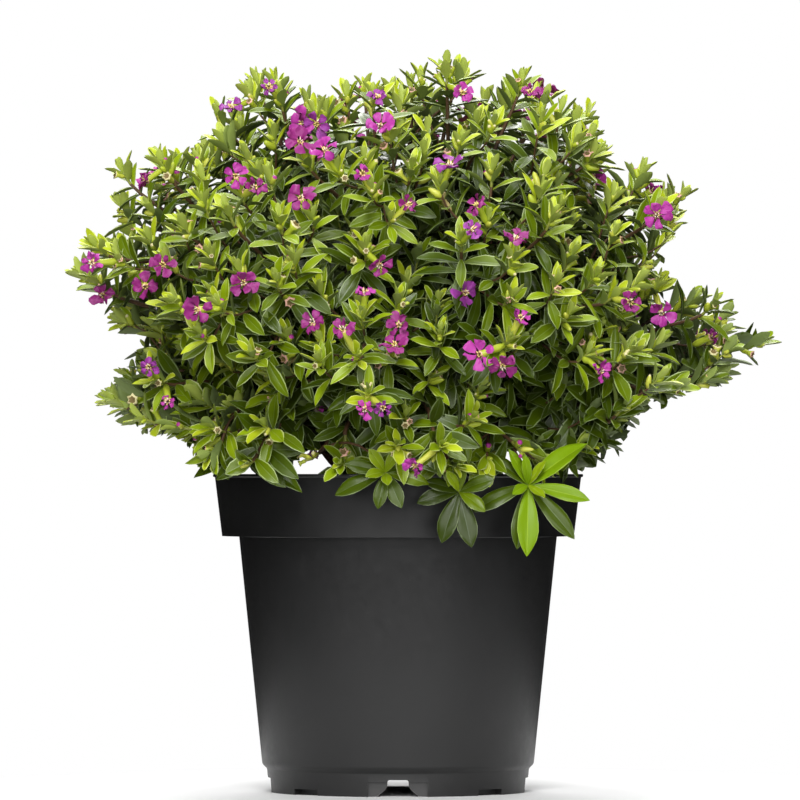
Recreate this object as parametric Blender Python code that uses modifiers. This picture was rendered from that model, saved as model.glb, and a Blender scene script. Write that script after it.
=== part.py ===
"""Potted cuphea: a small flowering shrub in its black nursery pot.

Metres, +Z up. The pot stands on z = 0 and the side that faces the viewer is -Y. Every place below
is measured from the pot's own axis; the stand empty then carries the whole plant sideways, so that
the middle of the crown, which leans over to the right, lies over the origin.
"""

import math
import random
from collections import namedtuple

import bmesh
import bpy
from mathutils import Matrix, Vector
from mathutils.bvhtree import BVHTree

CLEAR = 0.0003
TURN_STEPS = 36
MILLIMETRE = 0.001
WELD_DISTANCE = 0.000001

# Where the pot's axis lies, so that the whole outline is centred on the origin
POT_AXIS = Vector((-0.0094, 0.0, 0.0))

# The pot: a thin wall with a wide rim band and a stepped foot
POT_HEIGHT = 0.1285
LIP_RADIUS = 0.0750
LIP_DEPTH = 0.0011
BAND_TOP_RADIUS = 0.0742
BAND_FOOT_RADIUS = 0.0713
BAND_FOOT = 0.1034
BODY_TOP_RADIUS = 0.0644
BODY_FOOT_RADIUS = 0.0550
BODY_FOOT = 0.0112
FOOT_TOP_RADIUS = 0.0531
FOOT_TOP = 0.0094
FOOT_RADIUS = 0.0524
WALL = 0.0010
FLOOR = 0.0012
LIP_UNDERCUT = 0.0002
OVER_THE_RIM = 0.0020

# Under the floor: two crossing air channels, wider where they leave through the foot
CHANNEL_WIDTH = 0.0085
CHANNEL_MOUTH = 0.0170
CHANNEL_HEIGHT = 0.0068
CHANNEL_FLARE = 0.0030
CHANNEL_SHOULDER = 0.0010
CHANNEL_CORNER = 0.0008
BELOW_THE_FOOT = -0.0010
ARCH_WIDTH = 0.0240
ARCH_HEIGHT = 0.0059
ARCH_DEPTH = 0.0040
DRAIN_WIDTH = 0.0130
DRAIN_HEIGHT = 0.0024
DRAIN_DEPTH = 0.0040
NOTCH_ROUNDING = 0.35

# The potting soil
SOIL_TOP = 0.1120
SOIL_EDGE_DROP = 0.0020
SOIL_FLAT_RADIUS = 0.0260

# The woody parts, with each curve's pulls as shares of its span
TRUNK_FOOT = Vector((-0.0120, 0.0020, SOIL_TOP + CLEAR))
TRUNK_BEND = Vector((-0.0135, 0.0010, 0.1320))
TRUNK_FLARE_RADIUS = 0.0068
TRUNK_RADIUS = 0.0046
TRUNK_TIP_RADIUS = 0.0016
TRUNK_LAST_STRETCH = 0.0250
TRUNK_FLARE_HEIGHT = 0.0080
LOWEST_BOUGH = 0.1195
HIGHEST_BOUGH = 0.1760
BOUGH_RADIUS = 0.0019
BOUGH_TIP_RADIUS = 0.0015
BOUGH_THINNING = 0.0004
BOUGH_SHARE = 0.37
BOUGH_LEAVING_PULL = 0.38
BOUGH_ARRIVING_PULL = 0.33
GREATEST_CLIMB = 1.5
RIM_PASS = 0.1385
TRUNK_KNOTS = 11
BOUGH_KNOTS = 5
LIMB_SAMPLE_STEP = 0.0012

# The crown's sides, and its underside, which rises outwards from the rim
CROWN_LEFT = -0.1340
CROWN_RIGHT = 0.1520
CROWN_FOOT = 0.1290
CROWN_FOOT_RADIUS = 0.0800
CROWN_FOOT_SLOPE = 0.70
HANG = 0.0140
POT_MARGIN = 0.0012

# The foliage: every spray keeps to its own wedge of space round the heart
HEART = Vector((-0.0040, 0.0, 0.1400))
STEM_RADIUS = 0.0022
STEM_TIP_RADIUS = 0.0015
TWIG_RADIUS = 0.0013
TWIG_TIP_RADIUS = 0.0011
STEM_KNOTS = 4
STEM_LEAVING_PULL = 0.35
STEM_ARRIVING_PULL = 0.30
STEM_LIFT = 2.4
STEM_HANG = 2.0
TWIGS = 4
TWIG_SPREAD = math.radians(22.0)
TWIG_DRAWN_IN = (1.0, 0.88, 0.76, 0.64, 0.52)
TWIG_REACHES = (0.93, 1.0)
TWIG_HANG = 0.9
TWIG_TIP_MARGIN = 0.0020
FIRST_TWIG = 0.94
TWIG_ZONE = 0.50
SHORTEST_TWIG = 0.35
LOBE_ROUNDING = 1.2
LEAF_LENGTH = 0.0370
LEAF_WIDTH = 0.0160
LEAF_THICKNESS = 0.0018
LEAF_SINK = 0.0009
LEAF_TILTS = (math.radians(34.0), math.radians(58.0))
LEAF_TILT_SPREAD = (-0.12, 0.15)
LEAF_SWINGS = (0.0, 0.35, -0.35, 0.70, -0.70)
LEAF_LENGTH_SHARES = (0.86, 1.04)
LEAF_BACKS = (0.0030, 0.0170)
LEAF_CLEARANCE = 0.0004
LEAF_ROOT_ZONE = 0.0008
LEAF_TEST_SHARES = (0.12, 0.25, 0.375, 0.5, 0.625, 0.75, 0.875, 1.0)
ROSETTE_RADIUS = 0.0100
ROSETTE_VALLEY = 0.38
ROSETTE_BELT = 0.25
ROSETTE_SHARES = (1.0, 0.85, 0.70)
FLOWER_RADIUS = 0.0078
FLOWER_THICKNESS = 0.0030
FLOWER_STALK = 0.0110
FLOWER_NOTCH = 0.62
FLOWER_BACK = 0.0030
FLOWER_LEAN = 0.8
FLOWER_TURNS = 6
SHOOTS_PER_FLOWER = 4
GOLDEN_ANGLE = math.pi * (3.0 - math.sqrt(5.0))
WEDGE_MARGIN = 0.0002
LIMB_MARGIN = 0.0012
CORE_PLACE = 0.59
CORE_HALF_LENGTH = 0.17
CORE_HALF_WIDTH = 0.155
CORE_DRAW_STEPS = 10
CORE_DRAW = 0.15
CORE_MARGIN = 0.0010
SEED = 7

# Base colour and roughness of each material
FINISHES = {
    "pot_plastic": ((0.012, 0.012, 0.013), 0.38),
    "soil": ((0.045, 0.028, 0.018), 0.95),
    "bark": ((0.12, 0.055, 0.035), 0.80),
    "foliage": ((0.055, 0.15, 0.025), 0.45),
    "blossom": ((0.52, 0.02, 0.34), 0.55),
}

# Each spray's furthest leaf tip from the pot's axis, in millimetres to the right, to the back
# and up, and how far its end hangs below a straight line
Spray = namedtuple("Spray", "name right back up droop")
SPRAYS = (
    Spray("top", 24, 16, 298, 0),
    Spray("top_left", -58, 10, 293, 0),
    Spray("top_right", 80, 12, 282, 0),
    Spray("top_mid_left", -14, 24, 294, 0),
    Spray("top_mid_right", 52, -30, 295, 0),
    Spray("top_front", -10, -60, 284, 0),
    Spray("top_back", 8, 78, 278, 0),
    Spray("shoulder_left", -115, -18, 257, 0),
    Spray("shoulder_right", 119, -6, 247, 0),
    Spray("shoulder_front_left", -68, -96, 236, 0),
    Spray("shoulder_front_right", 62, -100, 234, 0),
    Spray("shoulder_back_left", -74, 94, 236, 0),
    Spray("shoulder_back_right", 78, 92, 234, 0),
    Spray("side_left", -132, 26, 214, 0),
    Spray("side_left_low", -122, -42, 158, 12),
    Spray("side_right", 152, 14, 186, 8),
    Spray("side_right_low", 122, -62, 160, 10),
    Spray("front_low", -16, -126, 178, 12),
    Spray("front_mid_low", 18, -106, 142, 12),
    Spray("front_rim", -26, -86, 116, 26),
    Spray("front_right_low", 62, -90, 98, 44),
    Spray("front_left_low", -84, -84, 128, 24),
    Spray("back_low", 0, 126, 172, 14),
    Spray("back_rim", 22, 102, 138, 16),
    Spray("back_left_low", -98, 84, 158, 14),
    Spray("back_right_low", 100, 82, 152, 16),
)
LEADER_SPRAY = SPRAYS[0]


def clear_scene():
    """Removes every object and material, so that the plant is all the scene holds."""
    for obj in list(bpy.data.objects):
        bpy.data.objects.remove(obj, do_unlink=True)
    for material in list(bpy.data.materials):
        bpy.data.materials.remove(material)


def new_collection(name):
    """Returns a new collection inside the scene's own."""
    collection = bpy.data.collections.new(name)
    bpy.context.scene.collection.children.link(collection)
    return collection


def material_of(name):
    """Returns the Principled material of this name, made when it is first asked for."""
    if name in bpy.data.materials:
        return bpy.data.materials[name]
    colour, roughness = FINISHES[name]
    material = bpy.data.materials.new(name)
    material.use_nodes = True
    shader = material.node_tree.nodes["Principled BSDF"]
    shader.inputs["Base Color"].default_value = (*colour, 1.0)
    shader.inputs["Roughness"].default_value = roughness
    shader.inputs["Metallic"].default_value = 0.0
    return material


def new_object(name, mesh, collection, place=(0.0, 0.0, 0.0)):
    """Links a mesh or a curve as an object at this place."""
    obj = bpy.data.objects.new(name, mesh)
    obj.location = place
    collection.objects.link(obj)
    return obj


def mesh_from(bm, name, finish=None):
    """Ends a bmesh as a new mesh, in this finish."""
    mesh = bpy.data.meshes.new(name)
    bm.to_mesh(mesh)
    bm.free()
    if finish:
        mesh.materials.append(material_of(finish))
    return mesh


def turned(name, profile, collection):
    """Returns an object turned round Z from a profile of (radius, height) pairs."""
    bm = bmesh.new()
    corners = [bm.verts.new((radius, 0.0, height)) for radius, height in profile]
    for upper, lower in zip(corners, corners[1:]):
        bm.edges.new((upper, lower))
    obj = new_object(name, mesh_from(bm, name), collection)
    screw = obj.modifiers.new("turn", "SCREW")
    screw.steps = TURN_STEPS
    screw.render_steps = TURN_STEPS
    screw.use_merge_vertices = True
    screw.merge_threshold = 0.00001
    screw.use_smooth_shade = True
    return obj


def prism_across(name, section, half_length, collection):
    """Returns a closed bar along Y with this outline of (x, z) corners as its section."""
    bm = bmesh.new()
    corners = [bm.verts.new((x, -half_length, z)) for x, z in section]
    end = bm.faces.new(corners)
    moved = bmesh.ops.extrude_face_region(bm, geom=[end])["geom"]
    far_side = [item for item in moved if isinstance(item, bmesh.types.BMVert)]
    bmesh.ops.translate(bm, verts=far_side, vec=(0.0, 2.0 * half_length, 0.0))
    bmesh.ops.recalc_face_normals(bm, faces=bm.faces)
    return new_object(name, mesh_from(bm, name), collection)


def cut_away(obj, cutter):
    """Takes another object's shape out of this one by an exact Boolean."""
    modifier = obj.modifiers.new(f"less {cutter.name}", "BOOLEAN")
    modifier.operation = "DIFFERENCE"
    modifier.object = cutter
    modifier.solver = "EXACT"


def channel_section(grown):
    """Returns the outline of an air channel, grown outwards and upwards by a wall."""
    half = CHANNEL_WIDTH / 2 + grown
    mouth = CHANNEL_MOUTH / 2 + grown
    top = CHANNEL_HEIGHT + grown
    right_side = (
        (half - CHANNEL_CORNER, top),
        (half, top - CHANNEL_CORNER),
        (half, CHANNEL_FLARE + CHANNEL_SHOULDER),
        (half + 0.25 * (mouth - half), CHANNEL_FLARE),
        (mouth, 0.4 * CHANNEL_FLARE),
        (mouth, BELOW_THE_FOOT),
    )
    left_side = tuple((-x, z) for x, z in reversed(right_side))
    return left_side + right_side


def crossing_channels(name, grown, collection):
    """Returns two cutters, one along X and one along Y, as long as the pot is wide."""
    pair = []
    for turn, label in ((0.0, "along"), (math.pi / 2, "across")):
        bar = prism_across(f"{name}_{label}", channel_section(grown), LIP_RADIUS, collection)
        bar.rotation_euler.z = turn
        pair.append(bar)
    return pair


def foot_notches(collection):
    """Returns the cutters of the four arches and of the four drain slots between them."""
    cutters = []
    kinds = (
        ("arch", ARCH_WIDTH, ARCH_HEIGHT, ARCH_DEPTH, 0.0),
        ("drain", DRAIN_WIDTH, DRAIN_HEIGHT, DRAIN_DEPTH, math.pi / 4),
    )
    for label, width, height, depth, first_turn in kinds:
        for quarter in range(4):
            bm = bmesh.new()
            size = Matrix.Diagonal((width, 2.0 * depth, 2.0 * height, 1.0))
            bmesh.ops.create_cube(bm, size=1.0, matrix=Matrix.Translation((0, -FOOT_RADIUS, 0)) @ size)
            upright = [e for e in bm.edges if abs(e.verts[0].co.y - e.verts[1].co.y) > depth
                       and e.verts[0].co.z > 0.0]
            bmesh.ops.bevel(bm, geom=upright, offset=NOTCH_ROUNDING * height, segments=2,
                            affect="EDGES", profile=0.5)
            cutter = new_object(f"{label}_{quarter}", mesh_from(bm, label), collection)
            cutter.rotation_euler.z = first_turn + quarter * math.pi / 2
            cutters.append(cutter)
    return cutters


def inner_profile(grown):
    """Returns the inside of the pot's wall from the shelf down, drawn in by this much."""
    slope = (BODY_TOP_RADIUS - BODY_FOOT_RADIUS) / (BAND_FOOT - BODY_FOOT)
    inner_top = BODY_TOP_RADIUS - WALL - grown
    return (
        (inner_top, BAND_FOOT + WALL + grown),
        (inner_top - slope * (BAND_FOOT - BODY_FOOT), BODY_FOOT + WALL),
        (FOOT_TOP_RADIUS - WALL - grown, FOOT_TOP),
        (FOOT_RADIUS - WALL - grown, FLOOR + grown),
        (0.0, FLOOR + grown),
    )


def build_pot(parts, cutters):
    """Makes the pot as a shell: its outside less its inside, its channels and its notches."""
    outside = (
        (0.0, POT_HEIGHT),
        (LIP_RADIUS, POT_HEIGHT),
        (LIP_RADIUS, POT_HEIGHT - LIP_DEPTH),
        (BAND_TOP_RADIUS, POT_HEIGHT - LIP_DEPTH - LIP_UNDERCUT),
        (BAND_FOOT_RADIUS, BAND_FOOT),
        (BODY_TOP_RADIUS, BAND_FOOT),
        (BODY_FOOT_RADIUS, BODY_FOOT),
        (FOOT_TOP_RADIUS, FOOT_TOP),
        (FOOT_RADIUS, 0.0),
        (0.0, 0.0),
    )
    inside = (
        (0.0, POT_HEIGHT + OVER_THE_RIM),
        (BAND_TOP_RADIUS - WALL, POT_HEIGHT + OVER_THE_RIM),
        (BAND_TOP_RADIUS - WALL, POT_HEIGHT - LIP_DEPTH),
        (BAND_FOOT_RADIUS - WALL, BAND_FOOT + WALL),
    ) + inner_profile(0.0)
    pot = turned("pot", outside, parts)
    hollow = turned("pot_inside", inside, cutters)
    for roof in crossing_channels("channel_roof", WALL, cutters):
        cut_away(hollow, roof)
    cut_away(pot, hollow)
    for channel in crossing_channels("channel", 0.0, cutters):
        cut_away(pot, channel)
    for notch in foot_notches(cutters):
        cut_away(pot, notch)
    return pot


def build_soil(parts, cutters):
    """Makes the potting soil, which fills the pot a hair's breadth clear of its wall."""
    slope = (BAND_TOP_RADIUS - BAND_FOOT_RADIUS) / (POT_HEIGHT - BAND_FOOT)
    edge_height = SOIL_TOP - SOIL_EDGE_DROP
    shelf = BAND_FOOT_RADIUS - WALL - CLEAR
    profile = (
        (0.0, SOIL_TOP),
        (SOIL_FLAT_RADIUS, SOIL_TOP),
        (shelf + slope * (edge_height - BAND_FOOT) - CLEAR, edge_height),
        (shelf, BAND_FOOT + WALL + CLEAR),
    ) + inner_profile(CLEAR)
    soil = turned("soil", profile, parts)
    for roof in crossing_channels("channel_clearance", WALL + CLEAR, cutters):
        cut_away(soil, roof)
    return soil


def bezier(start, start_pull, end_pull, end, count):
    """Returns points evenly spread in parameter along a cubic curve."""
    points = []
    for index in range(count):
        t = index / (count - 1)
        s = 1.0 - t
        points.append(start * s**3 + start_pull * (3 * s * s * t) + end_pull * (3 * s * t * t)
                      + end * t**3)
    return points


def tapered(root_radius, tip_radius, count):
    """Returns radii that shrink evenly from a limb's root to its tip."""
    return [root_radius + (tip_radius - root_radius) * i / (count - 1) for i in range(count)]


def limb_object(name, points, radii, sides_level, collection):
    """Returns a closed tapering limb, with its origin at its root."""
    curve = bpy.data.curves.new(name, "CURVE")
    curve.dimensions = "3D"
    curve.bevel_depth = 1.0
    curve.bevel_resolution = sides_level
    curve.use_fill_caps = True
    spline = curve.splines.new("POLY")
    spline.points.add(len(points) - 1)
    for knot, point, radius in zip(spline.points, points, radii):
        knot.co = (*(point - points[0]), 1.0)
        knot.radius = radius
    rod = new_object(f"{name}_curve", curve, collection, points[0])
    bpy.context.view_layer.update()
    mesh = bpy.data.meshes.new_from_object(rod.evaluated_get(bpy.context.evaluated_depsgraph_get()))
    bpy.data.objects.remove(rod, do_unlink=True)
    bm = bmesh.new()
    bm.from_mesh(mesh)
    bmesh.ops.remove_doubles(bm, verts=bm.verts, dist=WELD_DISTANCE)
    bmesh.ops.recalc_face_normals(bm, faces=bm.faces)
    bm.to_mesh(mesh)
    bm.free()
    mesh.shade_smooth()
    return new_object(name, mesh, collection, points[0])


def trunk_course(grown):
    """Returns the trunk's points and radii, thicker all over by this much."""
    tip = bough_tip(LEADER_SPRAY)
    way = stem_direction(LEADER_SPRAY)
    points = bezier(TRUNK_FOOT, TRUNK_BEND, tip - way * TRUNK_LAST_STRETCH, tip, TRUNK_KNOTS)
    points[0] = TRUNK_FOOT.copy()
    points[1] = TRUNK_FOOT + Vector((0.0, 0.0, 0.25 * TRUNK_FLARE_HEIGHT))
    points[-2] = tip - way * (points[-1] - points[-2]).length
    radii = []
    for point in points:
        above = point.z - TRUNK_FOOT.z
        flare = max(0.0, 1.0 - above / TRUNK_FLARE_HEIGHT) ** 2
        up = above / (tip.z - TRUNK_FOOT.z)
        radius = TRUNK_RADIUS + (TRUNK_TIP_RADIUS - TRUNK_RADIUS) * up
        radii.append(radius + flare * (TRUNK_FLARE_RADIUS - TRUNK_RADIUS) + grown)
    return points, radii


def trunk_at(height):
    """Returns the middle of the trunk at this height."""
    points, _ = trunk_course(0.0)
    for low, high in zip(points, points[1:]):
        if low.z <= height <= high.z:
            return low.lerp(high, (height - low.z) / (high.z - low.z))
    return points[-1].copy()


def tip_of(spray):
    """Returns the spray's furthest leaf tip."""
    return Vector((spray.right, spray.back, spray.up)) * MILLIMETRE


def droop_of(spray):
    """Returns how far the spray's end hangs, as an upright vector."""
    return Vector((0.0, 0.0, spray.droop)) * MILLIMETRE


def aim_of(spray):
    """Returns the direction from the heart that the spray grows in, before its end hangs."""
    return (tip_of(spray) + droop_of(spray) - HEART).normalized()


def reach_of(spray):
    """Returns how far from the heart the spray reaches."""
    return (tip_of(spray) - HEART).length


def bough_tip(spray):
    """Returns where the spray's bough ends and its own stem starts."""
    tip = HEART + aim_of(spray) * (reach_of(spray) * BOUGH_SHARE)
    tip.z = max(tip.z, RIM_PASS)
    return tip


def bough_course(spray, leaving_height):
    """Returns the points and radii of the bough that carries this spray."""
    start = trunk_at(leaving_height)
    end = bough_tip(spray)
    aim = aim_of(spray)
    outward = Vector((aim.x, aim.y, 0.0)).normalized()
    span = (end - start).length
    climb = min(GREATEST_CLIMB, 0.2 + max(0.0, aim.z) / (1.2 - aim.z))
    leaving = (outward + Vector((0.0, 0.0, climb))).normalized()
    start_pull = start + leaving * span * BOUGH_LEAVING_PULL
    end_pull = end - stem_direction(spray) * span * BOUGH_ARRIVING_PULL
    points = bezier(start, start_pull, end_pull, end, BOUGH_KNOTS)
    points[-2] = end - stem_direction(spray) * (points[-1] - points[-2]).length
    high = (leaving_height - LOWEST_BOUGH) / (HIGHEST_BOUGH - LOWEST_BOUGH)
    root = BOUGH_RADIUS - BOUGH_THINNING * high
    return points, tapered(root, BOUGH_TIP_RADIUS, BOUGH_KNOTS)


def stem_end(spray):
    """Returns where the spray's stem ends: a leaf's length short of the spray's furthest tip."""
    tip = tip_of(spray)
    along = (tip - bough_tip(spray) - STEM_HANG * droop_of(spray)).normalized()
    return tip - along * (LEAF_LENGTH - LEAF_SINK), along


def stem_direction(spray):
    """Returns the direction in which the stem leaves its bough."""
    end, _ = stem_end(spray)
    return (end + STEM_LIFT * droop_of(spray) - bough_tip(spray)).normalized()


def stem_course(spray):
    """Returns the points of the spray's own stem, which starts clear of its bough."""
    way = stem_direction(spray)
    start = bough_tip(spray) + way * CLEAR
    end, along = stem_end(spray)
    span = (end - start).length
    start_pull = start + way * span * STEM_LEAVING_PULL
    points = bezier(start, start_pull, end - along * span * STEM_ARRIVING_PULL, end, STEM_KNOTS)
    points[1] = start + way * (points[1] - start).length
    return points


def twig_ends(spray, rng):
    """Returns the ends of the side twigs, spread over the spray's outer surface by a fixed angle."""
    aim = aim_of(spray)
    side = aim.orthogonal().normalized()
    over = aim.cross(side)
    first = rng.uniform(0.0, math.tau)
    ends = []
    for index in range(TWIGS):
        wide = TWIG_SPREAD * math.sqrt((index + 0.9) / TWIGS)
        turn = first + index * GOLDEN_ANGLE
        out = side * math.cos(turn) + over * math.sin(turn)
        for drawn_in in TWIG_DRAWN_IN:
            way = aim * math.cos(wide * drawn_in) + out * math.sin(wide * drawn_in)
            far = lobe_limit(spray, way) * rng.uniform(*TWIG_REACHES)
            tip = HEART + way * far - TWIG_HANG * droop_of(spray)
            if in_wedge(spray, [tip], TWIG_TIP_MARGIN) and clears_pot([tip]):
                ends.append(tip)
                break
    return ends


def lobe_limit(spray, way):
    """Returns how far from the heart the spray may reach in this direction."""
    return reach_of(spray) * (1.0 - LOBE_ROUNDING * (1.0 - max(0.0, way.dot(aim_of(spray)))))


def in_wedge(spray, points, margin=WEDGE_MARGIN):
    """Tells whether every point is nearer to this spray's direction than to any other's."""
    aim = aim_of(spray)
    for other in SPRAYS:
        if other is spray:
            continue
        across = (aim - aim_of(other)).normalized()
        if any((point - HEART).dot(across) < margin for point in points):
            return False
    return True


def clears_pot(points):
    """Tells whether every point stays off the pot, its rim and the soil."""
    for point in points:
        radius = math.hypot(point.x, point.y)
        if point.z < POT_HEIGHT + POT_MARGIN:
            outside = radius > LIP_RADIUS + POT_MARGIN
            over_soil = radius < BAND_FOOT_RADIUS - WALL - POT_MARGIN and point.z > SOIL_TOP + POT_MARGIN
            if not outside and not over_soil:
                return False
    return True


def inside_crown(spray, points):
    """Tells whether every point keeps between the crown's sides and above its underside."""
    lowest = tip_of(spray).z - HANG
    for point in points:
        if not CROWN_LEFT <= point.x <= CROWN_RIGHT:
            return False
        out = max(0.0, math.hypot(point.x, point.y) - CROWN_FOOT_RADIUS)
        if point.z < min(lowest, CROWN_FOOT + CROWN_FOOT_SLOPE * out):
            return False
    return True


def clears_limbs(points, limbs):
    """Tells whether every point stays off the trunk and the boughs."""
    for place, radius in limbs:
        if any((point - place).length < radius + LIMB_MARGIN for point in points):
            return False
    return True


def samples_of(course, step=LIMB_SAMPLE_STEP):
    """Returns (place, radius) pairs close together along a limb."""
    points, radii = course
    samples = []
    for low, high, thick, thin in zip(points, points[1:], radii, radii[1:]):
        count = max(2, int((high - low).length / step))
        for index in range(count):
            t = index / count
            samples.append((low.lerp(high, t), thick + (thin - thick) * t))
    samples.append((points[-1], radii[-1]))
    return samples


def course_length(points):
    """Returns the length of a course of points."""
    return sum((high - low).length for low, high in zip(points, points[1:]))


def point_back(points, distance):
    """Returns the point this far back from a course's end, and the course's direction there."""
    for low, high in reversed(list(zip(points, points[1:]))):
        length = (high - low).length
        if distance <= length:
            return high.lerp(low, distance / length), (high - low).normalized()
        distance -= length
    return points[0].copy(), (points[1] - points[0]).normalized()


def three_sided_limb(points, radii):
    """Returns a closed three-sided limb of several bends as a mesh."""
    bm = bmesh.new()
    rings = []
    for index, (point, radius) in enumerate(zip(points, radii)):
        before = points[max(0, index - 1)]
        after = points[min(len(points) - 1, index + 1)]
        turn = (after - before).to_track_quat("Z", "Y").to_matrix().to_4x4()
        place = Matrix.Translation(point) @ turn
        rings.append(bmesh.ops.create_circle(bm, segments=3, radius=radius, matrix=place)["verts"])
    for lower, upper in zip(rings, rings[1:]):
        for corner in range(3):
            follow = (corner + 1) % 3
            bm.faces.new((lower[corner], lower[follow], upper[follow], upper[corner]))
    bm.faces.new(rings[0])
    bm.faces.new(rings[-1])
    bmesh.ops.recalc_face_normals(bm, faces=bm.faces)
    return mesh_from(bm, "limb", "bark")


def leaf_frame(root, way, face_up):
    """Returns the matrix that stands a unit shape's Z along a leaf and its Y out of its face."""
    along = way.normalized()
    width = along.cross(face_up)
    if width.length < 0.05:
        width = along.orthogonal()
    width.normalize()
    normal = width.cross(along)
    turn = Matrix((width, normal, along)).transposed().to_4x4()
    return Matrix.Translation(root) @ turn


def leaf_mesh(root, way, face_up, length):
    """Returns an eight-faced leaf whose root lies sunk behind the point that it grows from."""
    scale = length / LEAF_LENGTH
    middle = Matrix.Translation((0.0, 0.0, length / 2 - LEAF_SINK))
    size = Matrix.Diagonal((LEAF_WIDTH * scale / 2, LEAF_THICKNESS / 2, length / 2, 1.0))
    bm = bmesh.new()
    bmesh.ops.create_uvsphere(bm, u_segments=4, v_segments=2, radius=1.0,
                              matrix=leaf_frame(root, way, face_up) @ middle @ size)
    return mesh_from(bm, "leaf", "foliage")


def belt_of(bm):
    """Returns the corners round the middle of a two-ringed ball, in turn."""
    middle = [v for v in bm.verts if abs(v.co.z) < 0.5]
    return sorted(middle, key=lambda v: math.atan2(v.co.y, v.co.x))


def rosette_mesh(root, way, share):
    """Returns the four upright leaves at a shoot's end as one four-ridged spindle."""
    bm = bmesh.new()
    bmesh.ops.create_uvsphere(bm, u_segments=8, v_segments=2, radius=1.0)
    belt = belt_of(bm)
    for valley in belt[::2]:
        valley.co *= ROSETTE_VALLEY
    for corner in belt:
        corner.co.z = ROSETTE_BELT
    length = LEAF_LENGTH * share
    middle = Matrix.Translation((0.0, 0.0, length / 2 - LEAF_SINK))
    size = Matrix.Diagonal((ROSETTE_RADIUS * share, ROSETTE_RADIUS * share, length / 2, 1.0))
    bm.transform(leaf_frame(root, way, way.orthogonal()) @ middle @ size)
    return mesh_from(bm, "rosette", "foliage")


def solid_tree(mesh):
    """Returns a search tree of a mesh's faces, for testing what crosses it."""
    return BVHTree.FromPolygons([v.co for v in mesh.vertices], [p.vertices for p in mesh.polygons])


def leaf_room(root, way, face_up, length):
    """Returns a search tree of the space that a leaf takes up outside its twig."""
    frame = leaf_frame(root, way, face_up)
    half = LEAF_WIDTH * length / LEAF_LENGTH / 2 + LEAF_CLEARANCE
    deep = LEAF_THICKNESS / 2 + LEAF_CLEARANCE
    start = TWIG_RADIUS + LEAF_ROOT_ZONE
    middle = length / 2 - LEAF_SINK
    end = length - LEAF_SINK + LEAF_CLEARANCE
    corners = ((0, 0, start), (0, 0, end), (half, 0, middle), (0, deep, middle),
               (-half, 0, middle), (0, -deep, middle))
    belt = (2, 3, 4, 5)
    faces = [(pole, a, b) for pole in (0, 1) for a, b in zip(belt, belt[1:] + belt[:1])]
    return BVHTree.FromPolygons([frame @ Vector(corner) for corner in corners], faces)


def leaf_points(root, way, face_up, length):
    """Returns points over a leaf, for testing what it would touch."""
    frame = leaf_frame(root, way, face_up)
    half = LEAF_WIDTH * length / LEAF_LENGTH / 2
    points = []
    for share in LEAF_TEST_SHARES:
        swell = half * (1.0 - abs(2.0 * share - 1.0))
        for side in (-1.0, 0.0, 1.0):
            points.append(frame @ Vector((side * swell, 0.0, length * share - LEAF_SINK)))
    return points


def flower_mesh(centre, way):
    """Returns a flat six-pointed flower that faces this way."""
    size = Matrix.Diagonal((FLOWER_RADIUS, FLOWER_RADIUS, FLOWER_THICKNESS / 2, 1.0))
    turn = way.to_track_quat("Z", "Y").to_matrix().to_4x4()
    bm = bmesh.new()
    bmesh.ops.create_uvsphere(bm, u_segments=12, v_segments=2, radius=1.0)
    belt = belt_of(bm)
    for notch in belt[::2]:
        notch.co *= FLOWER_NOTCH
    bm.transform(Matrix.Translation(centre) @ turn @ size)
    return mesh_from(bm, "flower", "blossom")


def core_mesh(spray):
    """Returns the dense inside of a spray: a faceted lump well inside the spray's own space."""
    reach = reach_of(spray)
    aim = aim_of(spray)
    bm = bmesh.new()
    bmesh.ops.create_icosphere(bm, subdivisions=1, radius=1.0)
    middle, _ = point_back(stem_course(spray), reach * (1.0 - CORE_PLACE) - LEAF_LENGTH)
    wide = reach * CORE_HALF_WIDTH
    size = Matrix.Diagonal((wide, wide, reach * CORE_HALF_LENGTH, 1.0))
    turn = aim.to_track_quat("Z", "Y").to_matrix().to_4x4()
    bm.transform(Matrix.Translation(middle) @ turn @ size)
    for corner in bm.verts:
        corner.co.z = max(corner.co.z, RIM_PASS)
        for _ in range(CORE_DRAW_STEPS):
            if in_wedge(spray, [corner.co], CORE_MARGIN) and clears_pot([corner.co]):
                break
            corner.co = corner.co.lerp(middle, CORE_DRAW)
    return mesh_from(bm, "core", "foliage")


def main_body(mesh):
    """Keeps a fused mesh's largest body: loose scraps go, and sealed hollows are filled."""
    bm = bmesh.new()
    bm.from_mesh(mesh)
    bmesh.ops.triangulate(bm, faces=bm.faces)
    waiting = set(bm.faces)
    bodies = []
    while waiting:
        body = {waiting.pop()}
        edge_of_body = list(body)
        while edge_of_body:
            face = edge_of_body.pop()
            for edge in face.edges:
                for other in edge.link_faces:
                    if other in waiting:
                        waiting.remove(other)
                        body.add(other)
                        edge_of_body.append(other)
        volume = sum(f.verts[0].co.dot(f.verts[1].co.cross(f.verts[2].co)) for f in body) / 6.0
        bodies.append((volume, body))
    largest = max(bodies, key=lambda found: found[0])[1]
    scrap = [face for _, body in bodies if body is not largest for face in body]
    bmesh.ops.delete(bm, geom=scrap, context="FACES")
    bm.to_mesh(mesh)
    bm.free()


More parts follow.
